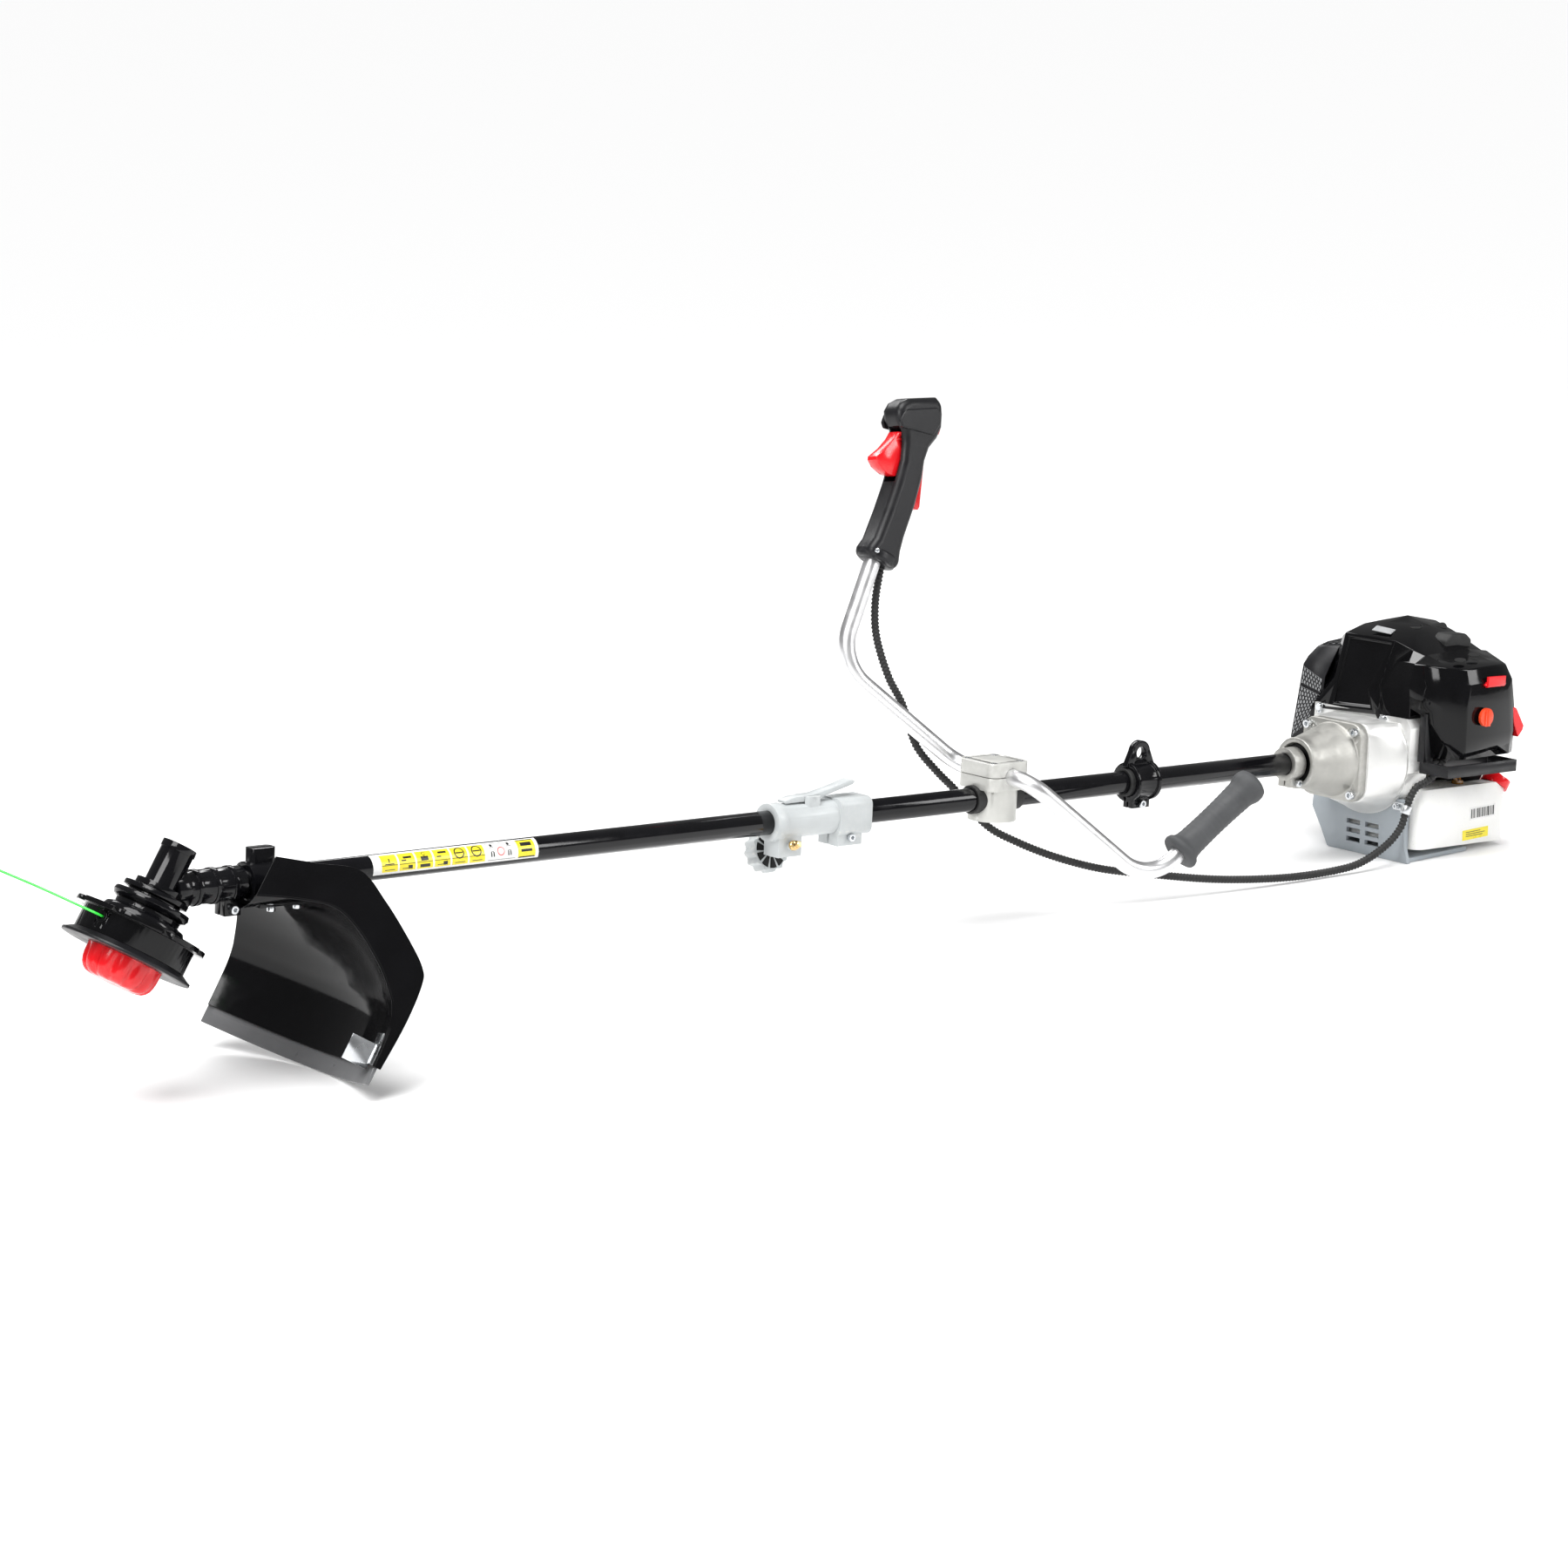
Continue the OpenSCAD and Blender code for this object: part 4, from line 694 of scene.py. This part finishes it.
SHROUD_FACES = [
    "tl tr r2 r1", "tr mr r3 r2", "mr ri br2 br1 r6 r3", "br1 bl r5 r6", "bl ll wl2 wl ml r4 r5",
    "ml tl r1 r4", "r1 r2 q2 q1", "r2 r3 q3 q2", "r3 r6 q6 q3", "r6 r5 q5 q6", "r5 r4 q4 q5",
    "r4 r1 q1 q4", "q1 q2 q3 q4", "q4 q3 q6 q5",
    "mr rt ro rb bs br2 ri", "tr s2 s1 rt mr", "s2 c1 e s1", "s1 e f rt", "rt f g ro",
    "ro g wt rb", "rb wt bs",
    "tl l2 m1 n1 tr", "l2 l3 m2 m1", "m1 m2 n2 n1", "l3 l4 m3 m2", "m2 m3 n3 n2",
    "tr n1 c1 s2", "n1 n2 c2 c1", "n2 n3 c3 c2", "e c1 d1 wt g f", "c1 c2 d2 d1", "c2 c3 d3 d2",
    "tl ml lb la", "ml wl wl2 lc lb", "wl2 ll ld lc", "tl la l2", "la le l4 l3 l2",
    "la lb lf le", "lb lc lg lf", "l4 le lf d3 c3 n3 m3",
]
faceted("shroud_facets", SHROUD, SHROUD_FACES, "gloss_plastic", "engine_shroud", 2.4, 2.2)

COVER = {
    "a1": (-13, 62, 238.5), "a2": (-6, 62, 210), "a3": (-7, 62, 187), "a4": (-17, 76, 176.5),
    "a5": (-19, 78, 169.5), "a6": (-27, 79, 126),
    "b1": (-40, 97, 234.5), "b2": (-43, 101, 216), "b3": (-28, 94, 190.5), "b4": (-31, 97, 155),
    "b5": (-42, 106, 126),
    "d1": (-60, 105, 233), "d2": (-58, 112, 214), "d3": (-52, 113, 188), "d4": (-50, 113, 152),
    "d5": (-52, 111, 126),
    "e1": (-113, 105, 232), "e2": (-120, 113, 214), "e3": (-124, 114, 182),
    "e4": (-127, 114, 150), "e5": (-129, 112, 124),
    "g1": (-138, 96, 229), "g2": (-141, 104, 212), "g3": (-144, 106, 180),
    "g4": (-145, 106, 150), "g5": (-142, 106, 124),
    "h1": (-142, 64, 232), "h2": (-146, 64, 124),
    "t1": (-36, 62, 247), "t2": (-103, 64, 247), "t3": (-139, 64, 241),
}
COVER_FACES = [
    "a1 a2 b2 b1", "a2 a3 b3 b2", "a3 a4 b4 b3", "a4 a5 a6 b5 b4",
    "b1 b2 d2 d1", "b2 b3 d3 d2", "b3 b4 d4 d3", "b4 b5 d5 d4",
    "d1 d2 e2 e1", "d2 d3 e3 e2", "d3 d4 e4 e3", "d4 d5 e5 e4",
    "e1 e2 g2 g1", "e2 e3 g3 g2", "e3 e4 g4 g3", "e4 e5 g5 g4",
    "g1 g2 g3 g4 g5 h2 h1", "a1 b1 t1", "t1 b1 d1 e1 t2", "t2 e1 g1 t3", "t3 g1 h1",
]
faceted("filter_cover_facets", COVER, COVER_FACES, "gloss_plastic", "filter_cover", 1.8, 2.5)


def prism(name, outline, axis, lo, hi, place, material, bevel, replaces=()):
    """A flat outline carried along local Y or Z between two heights, on the frame body."""
    verts = []
    for h in (lo, hi):
        for a, b in outline:
            verts.append((a, h, b) if axis == "Y" else (a, b, h))
    faces = loop_faces(2, len(outline))
    return piece(name, verts, faces, place, "frame", material, replaces, bevel=bevel)


# The net's bars; the hexagons reach HEX_ALONG and HEX_UP of a cell, so that neighbours meet
NET_HOLE, NET_WALL, NET_DEPTH = 0.8, 1.4, 0.5
HEX_ALONG, HEX_UP = 0.577, 0.667


def honeycomb(corners, columns, rows):
    """A net of hexagons laid over a panel with four corners, given in order."""
    a, b, c, d = (Vector(p) for p in corners)

    def on(u, v):
        return a.lerp(b, u).lerp(d.lerp(c, u), v)

    verts, faces = [], []
    for j in range(rows):
        for i in range(columns):
            cu = (i + 0.5 + 0.5 * (j % 2)) / (columns + 0.5)
            cv = (j + 0.5) / rows
            start = len(verts)
            for size in (1.0, NET_HOLE):
                for k in range(6):
                    t = math.radians(60 * k + 30)
                    u = cu + size * math.cos(t) * HEX_ALONG / (columns + 0.5)
                    v = cv + size * math.sin(t) * HEX_UP / rows
                    verts.append(on(min(1, max(0, u)), min(1, max(0, v))))
            for k in range(6):
                m = (k + 1) % 6
                faces.append((start + k, start + m, start + 6 + m, start + 6 + k))
    return verts, faces


MUFFLER = {
    "f1": (-18, -121, 213), "f2": (-16.9, -84, 201.5), "f5": (-8.8, -88, 119),
    "f4": (-9, -131, 121), "g1": (-24, -119, 222), "g2": (-38, -117, 232.5),
    "g3": (-54, -117, 236), "g4": (-84, -117, 237), "g5": (-112, -116, 233),
    "k1": (-23, -82, 215), "k2": (-36, -80, 237), "k3": (-54, -78, 243), "k4": (-84, -78, 245),
    "k5": (-112, -78, 240), "b2": (-112, -131, 117), "kb": (-112, -88, 117),
}
MUFFLER_FACES = [
    "f1 f2 f5 f4", "f1 g1 k1 f2", "g1 g2 k2 k1", "g2 g3 k3 k2", "g3 g4 k4 k3", "g4 g5 k5 k4",
    "f4 b2 g5 g4 g3 g2 g1 f1", "b2 kb k5 g5", "f4 f5 kb b2",
]
faceted(
    "muffler_cover_facets", MUFFLER, MUFFLER_FACES, "black_plastic", "muffler_cover", 2.0, 2.2,
    offset=0,
)


def on_front(y, z):
    """A point just outside the sloping front of the muffler's cover."""
    return (-15.9 + (213 - z) * 0.0978, y, z)


NET_UPPER = [on_front(-118.5, 210.5), on_front(-88, 199), on_front(-88, 183), on_front(-120, 190)]
NET_LOWER = [on_front(-120.5, 186), on_front(-89, 179.5), on_front(-93, 152), on_front(-128, 124)]
NET_ROOF = [(-42, -113, 235.6), (-80, -113, 239), (-80, -84, 245.8), (-42, -84, 241)]
NETS = (("upper", NET_UPPER, 6, 4), ("lower", NET_LOWER, 6, 11), ("roof", NET_ROOF, 7, 6))
for label, corners, columns, rows in NETS:
    verts, faces = honeycomb(corners, columns, rows)
    net = piece("grille_" + label, verts, faces, FLOOR, "frame", "black_plastic")
    add_wall(net, NET_WALL, 0)
    behind = Vector((0, 0, -NET_DEPTH) if label == "roof" else (-NET_DEPTH, 0, 0))
    piece(
        "grille_back_" + label, [Vector(p) + behind for p in corners], [(0, 1, 2, 3)], FLOOR,
        "frame", "badge",
    )

# The cone between the clutch case's square flange and the fan housing's round rim
RIM, FLANGE_HALF, FLANGE_CORNER, FLAT_TOP = 69.6, 47.3, 17, 46.5
CONE = (
    (-1, 0), (3, 0), (5, 0.06), (9, 0.16), (18, 0.34), (32, 0.62), (46, 0.92), (47.5, 1),
)
CONE_SIDES = 120


def housing_ring(x, blend):
    """A section of the cone: the round rim where blend is 0, the rounded square where it is 1."""
    inner = FLANGE_HALF - FLANGE_CORNER
    out = []
    for k in range(CONE_SIDES):
        t = math.radians(360 / CONE_SIDES * k)
        c, s = math.cos(t), math.sin(t)
        reach = FLANGE_HALF / max(abs(c), abs(s))
        if min(abs(c), abs(s)) * reach > inner:
            b = inner * (abs(c) + abs(s))
            reach = b + math.sqrt(b * b - 2 * inner * inner + FLANGE_CORNER * FLANGE_CORNER)
        r = RIM + (reach - RIM) * blend
        out.append((x, r * c, min(FLAT_TOP, r * s)))
    return out


verts = []
for x, blend in CONE:
    verts += housing_ring(x, blend)
cone = piece(
    "fan_housing_cone", verts, loop_faces(len(CONE), CONE_SIDES, closed_ends=False), SHAFT,
    "frame", "fresh_casting", crisp=30,
)
add_wall(cone, 2, -1)


def plate(name, corners, material, lift, thick):
    """A thin plate with four corners, lifted off the face that they lie on."""
    a, b, c, d = (Vector(p) for p in corners)
    out = (b - a).cross(d - a).normalized()
    low = [p + out * lift for p in (a, b, c, d)]
    top = [p + out * (lift + thick) for p in (a, b, c, d)]
    piece(name, low + top, loop_faces(2, 4), FLOOR, "frame", material, bevel=0.1)


# Blank badge on the shroud's top, the rubber boot over the spark plug's lead and small trim
plate(
    "blank_badge", [(-45, -28, 269.8), (-45, 2, 268.6), (-34, 4, 265), (-34, -26, 266)], "badge",
    0.2, 1.0,
)
prism(
    "plug_boot", [(-126, 236), (-128, 254), (-118, 262), (-92, 264), (-82, 257), (-80, 244)],
    "Y", 26, 50, FLOOR, "black_rubber", 3,
)
prism(
    "stop_lever", [(-137, 180), (-146, 176), (-160, 153), (-158, 148), (-150, 140), (-142, 158)],
    "Y", 98, 108, FLOOR, "red_plastic", 1.2,
)
VENT_SIDES = 24
# Two flat ovals of painted shade on the filter cover's top, where its vent holes would be dark
for k, (x, y) in enumerate(((-62, 90), (-93, 84))):
    verts = []
    for rise in (0, 1):
        for i in range(VENT_SIDES):
            t = math.radians(360 / VENT_SIDES * i)
            across = y + 4.6 * math.sin(t)
            verts.append((x + 9 * math.cos(t), across, 243.1 - 0.33 * (across - 84) + rise))
    faces = loop_faces(2, VENT_SIDES)
    piece("cover_vent_shade_%d" % k, verts, faces, FLOOR, "frame", "painted_shade")
for label, place in (("left", (1.2, -76.5, 168.5)), ("right", (1.2, 26.5, 169))):
    verts, faces = lathe([(4.6, -6), (4.6, 0.4), (4.0, 1.3), (0.5, 1.6)], 24)
    piece(
        "shroud_screw_" + label, verts, faces, FLOOR @ shift(*place) @ turn(90, "Y"), "frame",
        "zinc",
    )

# ------------------------------------------------------------------ labels


def stripes(widths):
    """Where dark bars start and end, as shares of the whole, from (bar, gap) widths."""
    at, out = 0.0, []
    for dark, gap in widths:
        out.append((at, at + dark))
        at += dark + gap
    return [(a / at, b / at) for a, b in out]


TANK_FACE, PAPER, INK_LIFT = 76.1, 0.15, 0.16


def tank_patch(name, x0, x1, z0, z1, material, lift=0):
    """A rectangle of label on the tank's side."""
    y = TANK_FACE
    corners = [(x0, y, z0), (x1, y, z0), (x1, y, z1), (x0, y, z1)]
    plate(name, corners, material, lift, PAPER)


tank_patch("tank_label_white", -104, -150, 39, 54.5, "label_white")
BARS_FROM, BARS_LONG = -106.5, 41
BARS = stripes([
    (3, 2), (1, 1), (2, 2), (1, 3), (3, 1), (1, 1), (2, 1), (1, 2), (3, 2), (2, 1), (1, 1),
    (1, 2), (2, 1), (3, 1), (1, 2), (2, 2), (1, 1), (3, 0.01),
])
for k, (a, b) in enumerate(BARS):
    x0, x1 = BARS_FROM - BARS_LONG * a, BARS_FROM - BARS_LONG * b
    tank_patch("tank_bar_%02d" % k, x0, x1, 41, 52.5, "label_ink", INK_LIFT)
tank_patch("tank_label_yellow", -92, -138, 15.5, 28, "label_yellow")
for k, (z, length) in enumerate(((19.5, 30), (22, 34), (24.5, 26))):
    tank_patch("tank_line_%d" % k, -98, -98 - length, z, z + 0.8, "label_ink", INK_LIFT)

TUBE_RADIUS = 13


def wrap(name, shapes, lift, material):
    """Lays flat shapes, lists of (mm along the shaft, degrees round it), on the tube."""
    r = TUBE_RADIUS + lift
    verts, faces = [], []
    for shape in shapes:
        start = len(verts)
        for x, a in shape:
            t = math.radians(a)
            verts.append((x, r * math.cos(t), r * math.sin(t)))
        faces.append(tuple(range(start, len(verts))))
    piece(name, verts, faces, SHAFT, "frame", material, crisp=60)


def box_shape(x0, x1, a0, a1, n):
    """A rectangle as n strips, so that it follows the tube's curve."""
    edges = [a0 + (a1 - a0) * i / n for i in range(n + 1)]
    return [[(x0, a), (x1, a), (x1, b), (x0, b)] for a, b in zip(edges, edges[1:])]


def outline_shape(points, inside):
    """A closed outline round flat points. Its inner edge is the same shape scaled by inside."""
    out = []
    cx = sum(p[0] for p in points) / len(points)
    ca = sum(p[1] for p in points) / len(points)
    inner = [(cx + (x - cx) * inside, ca + (a - ca) * inside) for x, a in points]
    for i in range(len(points)):
        j = (i + 1) % len(points)
        out.append([points[i], points[j], inner[j], inner[i]])
    return out


def round_points(x, a, r, n=20):
    """A circle of r mm on the tube, round a point in mm and degrees."""
    ra = math.degrees(r / TUBE_RADIUS)
    turns = [2 * math.pi * k / n for k in range(n)]
    return [(x + r * math.cos(t), a + ra * math.sin(t)) for t in turns]


# The label's ends along the shaft, and its edges in degrees round it
LABEL_FROM, LABEL_TO = 1239, 1441
LOW, HIGH = -26, 76
wrap("tube_label", box_shape(LABEL_FROM, LABEL_TO, LOW, HIGH, 24), 0.12, "label_white")
yellow, ink, red = [], [], []
SQUARE, SQUARE_GAP = 19, 2.2
for k in range(6):
    x0 = LABEL_TO - 8 - (k + 1) * (SQUARE + SQUARE_GAP)
    yellow += box_shape(x0, x0 + SQUARE, LOW + 10, HIGH - 10, 16)
    mid = x0 + SQUARE / 2
    ink += box_shape(x0, x0 + SQUARE, 12, 14.5, 2)
    if k == 0:
        ink += outline_shape([(mid - 6.5, 16), (mid + 6.5, 16), (mid, 61)], 0.68)
        ink += box_shape(mid - 0.7, mid + 0.7, 25, 44, 3)
    elif k in (1, 3):
        ink += box_shape(mid - 6, mid + 4, 34 + 3 * k, 44 + 3 * k, 3)
        ink += box_shape(mid + 1, mid + 6.5, 26, 32, 2) + box_shape(mid - 6, mid - 1, -10, 6, 3)
    elif k == 2:
        ink += [round_points(mid, 50, 2.4)] + box_shape(mid - 4.5, mid + 4.5, 18, 38, 4)
        ink += box_shape(mid - 6, mid + 6, -10, 4, 3)
    else:
        ink += outline_shape(round_points(mid, 36, 6.2), 0.78)
        ink += box_shape(mid - 4.5, mid + 4.5, 33, 39, 3)
    ink += box_shape(mid - 6, mid + 6, -8, -5, 1)


def rectangle(x0, x1, a0, a1):
    return [(x0, a0), (x1, a0), (x1, a1), (x0, a1)]


# An outlined white square with two figures, and a yellow one with two bars
WHITE_X = 1268
ink += outline_shape(rectangle(WHITE_X, WHITE_X + 34, LOW + 10, HIGH - 10), 0.955)
for x in (WHITE_X + 7, WHITE_X + 28):
    ink += [round_points(x, 54, 1.7), [(x - 2.6, 44), (x + 2.6, 44), (x + 1.6, 22), (x - 1.6, 22)]]
    ink += box_shape(x - 2.2, x - 0.7, 0, 22, 3) + box_shape(x + 0.7, x + 2.2, 0, 22, 3)
red += outline_shape(round_points(WHITE_X + 17.5, 22, 4.6), 0.78)
LAST_FROM, LAST_TO = 1243, 1264.5
yellow += box_shape(LAST_FROM, LAST_TO, LOW + 7, HIGH - 7, 16)
ink += outline_shape(rectangle(LAST_FROM, LAST_TO, LOW + 7, HIGH - 7), 0.86)
for a0, a1, n in ((34, 52, 4), (8, 20, 3)):
    ink += box_shape(LAST_FROM + 4, LAST_TO - 4, a0, a1, n)
wrap("tube_label_yellow", yellow, 0.17, "label_yellow")
wrap("tube_label_ink", ink, 0.22, "label_ink")
wrap("tube_label_red", red, 0.22, "label_red")

# ------------------------------------------------------------------ coupler knob

KNOB = SHAFT @ shift(905, 0, -29) @ turn(107, "X")
POCKETS, KNOB_TOP = 10, 20.2
# Flat sheets of painted shade on the knob's top face, standing for the shadowed hollows of its
# pockets
verts, faces = [], []
for k in range(POCKETS):
    start = len(verts)
    for r in (7.5, 19.5):
        for t in (4, 11, 18, 25, 32):
            a = math.radians(360 / POCKETS * k + t)
            verts.append((r * math.cos(a), r * math.sin(a), KNOB_TOP))
    for i in range(4):
        faces.append((start + i, start + i + 1, start + 6 + i, start + 5 + i))
piece("knob_pocket_shade", verts, faces, KNOB, "knob", "painted_shade")
BRASS = [
    (5.4, -17), (5.4, -20), (4.6, -21), (4.6, -24), (3.2, -25), (3.2, -29), (2.4, -30), (0.4, -30),
]
verts, faces = lathe(BRASS, 24)
piece("brass_end", verts, faces, KNOB, "knob", "brass")

# ------------------------------------------------------------------ throttle handle

# The handle starts BASE mm up the bar's grip; its outlines are (forward, up from there)
BASE = 120
HANDLE = [
    (-26, 1), (18, 1), (19, 12), (15, 24), (13.5, 60), (13.5, 92), (15.5, 118), (21, 136),
    (28, 149), (39, 156), (44, 166), (42, 176), (34, 185), (-2, 204), (-12, 202), (-18, 190),
    (-23, 176), (-21.5, 162), (-15.5, 147), (-15.5, 131), (-20, 112), (-22.5, 80), (-22.5, 40),
    (-24, 24), (-27, 12),
]
# Half widths and outlines of the slots for the trigger, the lockout lever and the kill switch
SLOTS = [
    (9, [(-2, 93), (60, 93), (60, 152), (12, 152), (7, 140), (2, 128), (-2, 112)]),
    (9, [(-60, 76), (-8, 76), (-3, 118), (-3, 138), (-60, 138)]),
    (7.2, [(-60, 169), (-11, 169), (-11, 183.4), (-60, 183.4)]),
]
HANDLE_HALF = 16.5


def above_base(outline):
    return [(x, BASE + z) for x, z in outline]


def carve(o, half, outline):
    """Cuts a straight slot through the handle, and keeps the result as its mesh."""
    verts = [THROTTLE @ Vector((x, y, z)) for y in (-half, half) for x, z in above_base(outline)]
    mesh = bpy.data.meshes.new("cutter")
    mesh.from_pydata([tuple(v) for v in verts], [], loop_faces(2, len(outline)))
    bm = bmesh.new()
    bm.from_mesh(mesh)
    bmesh.ops.recalc_face_normals(bm, faces=bm.faces)
    bm.to_mesh(mesh)
    bm.free()
    cutter = bpy.data.objects.new("cutter", mesh)
    bpy.context.scene.collection.objects.link(cutter)
    cut = o.modifiers.new("cut", "BOOLEAN")
    cut.operation = "DIFFERENCE"
    cut.object = cutter
    bpy.context.view_layer.update()
    shaped = o.evaluated_get(bpy.context.evaluated_depsgraph_get())
    baked = bpy.data.meshes.new_from_object(shaped)
    o.modifiers.clear()
    o.data = baked
    bpy.data.objects.remove(cutter)


handle = prism(
    "throttle_handle", above_base(HANDLE), "Y", -HANDLE_HALF, HANDLE_HALF, THROTTLE,
    "black_plastic", 0, ["throttle_shell_left", "throttle_shell_right"],
)
soft = handle.modifiers.new("soft", "BEVEL")
soft.width = 0.0085
soft.segments = 6
soft.limit_method = "ANGLE"
soft.angle_limit = math.radians(40)
for half, outline in SLOTS:
    carve(handle, half, outline)
ring = [math.radians(9 * i) for i in range(40)]
prism(
    "handle_flange", [(-4.5 + 24 * math.cos(t), 19.5 * math.sin(t)) for t in ring], "Z",
    BASE + 2, BASE + 15, THROTTLE, "black_plastic", 4,
)
BOSS = [(39, 163), (36, 170), (-4, 192), (-11, 190), (-16, 177), (-12, 161), (34, 149), (39, 154)]
for label, low, high in (("near", 13, 18.5), ("far", -17, -13)):
    prism(
        "handle_boss_" + label, above_base(BOSS), "Y", low, high, THROTTLE, "black_plastic",
        2.2,
    )

# ------------------------------------------------------------------ trimmer head

GROOVES, GROOVE_DEPTH = 12, 3.6
TAP_KNOB = [
    (9, 66.2), (38, 66), (38, 69), (38, 74), (37.8, 80), (37, 85), (35.5, 89.5), (33, 93),
    (29.5, 95.6), (25, 96.8), (18, 97), (10, 96.6), (0.5, 96.4),
]


def scallops(r, z, angle):
    """Grooves down the knob's side, which fade in below its upper edge."""
    if z < 70 or r < 20:
        return r
    depth = min(1.0, (z - 69) / 8) * GROOVE_DEPTH
    wave = 0.5 - 0.5 * math.cos(math.radians(angle * GROOVES))
    return r - depth * wave**2.2


verts, faces = lathe(TAP_KNOB, 192, scallops)
piece("scalloped_knob", verts, faces, HEAD, "tap", "red_plastic", ["tap_knob"])

# ------------------------------------------------------------------ studio floor

REACH = 40
floor_mesh = bpy.data.meshes.new("floor")
corners = [(-REACH, -REACH, 0), (REACH, -REACH, 0), (REACH, REACH, 0), (-REACH, REACH, 0)]
floor_mesh.from_pydata(corners, [], [(0, 1, 2, 3)])
floor = bpy.data.objects.new("floor", floor_mesh)
floor.location = (0, 0, -0.0004)
bpy.context.scene.collection.objects.link(floor)
floor_mat, tree, shader = new_material("floor")
grey = noise(tree, 0.6, 3)
link(
    tree, mix(tree, grey.outputs["Fac"], (0.90, 0.90, 0.90), (0.93, 0.93, 0.93)),
    shader.inputs["Base Color"],
)
shader.inputs["Roughness"].default_value = 0.6
floor.data.materials.append(floor_mat)
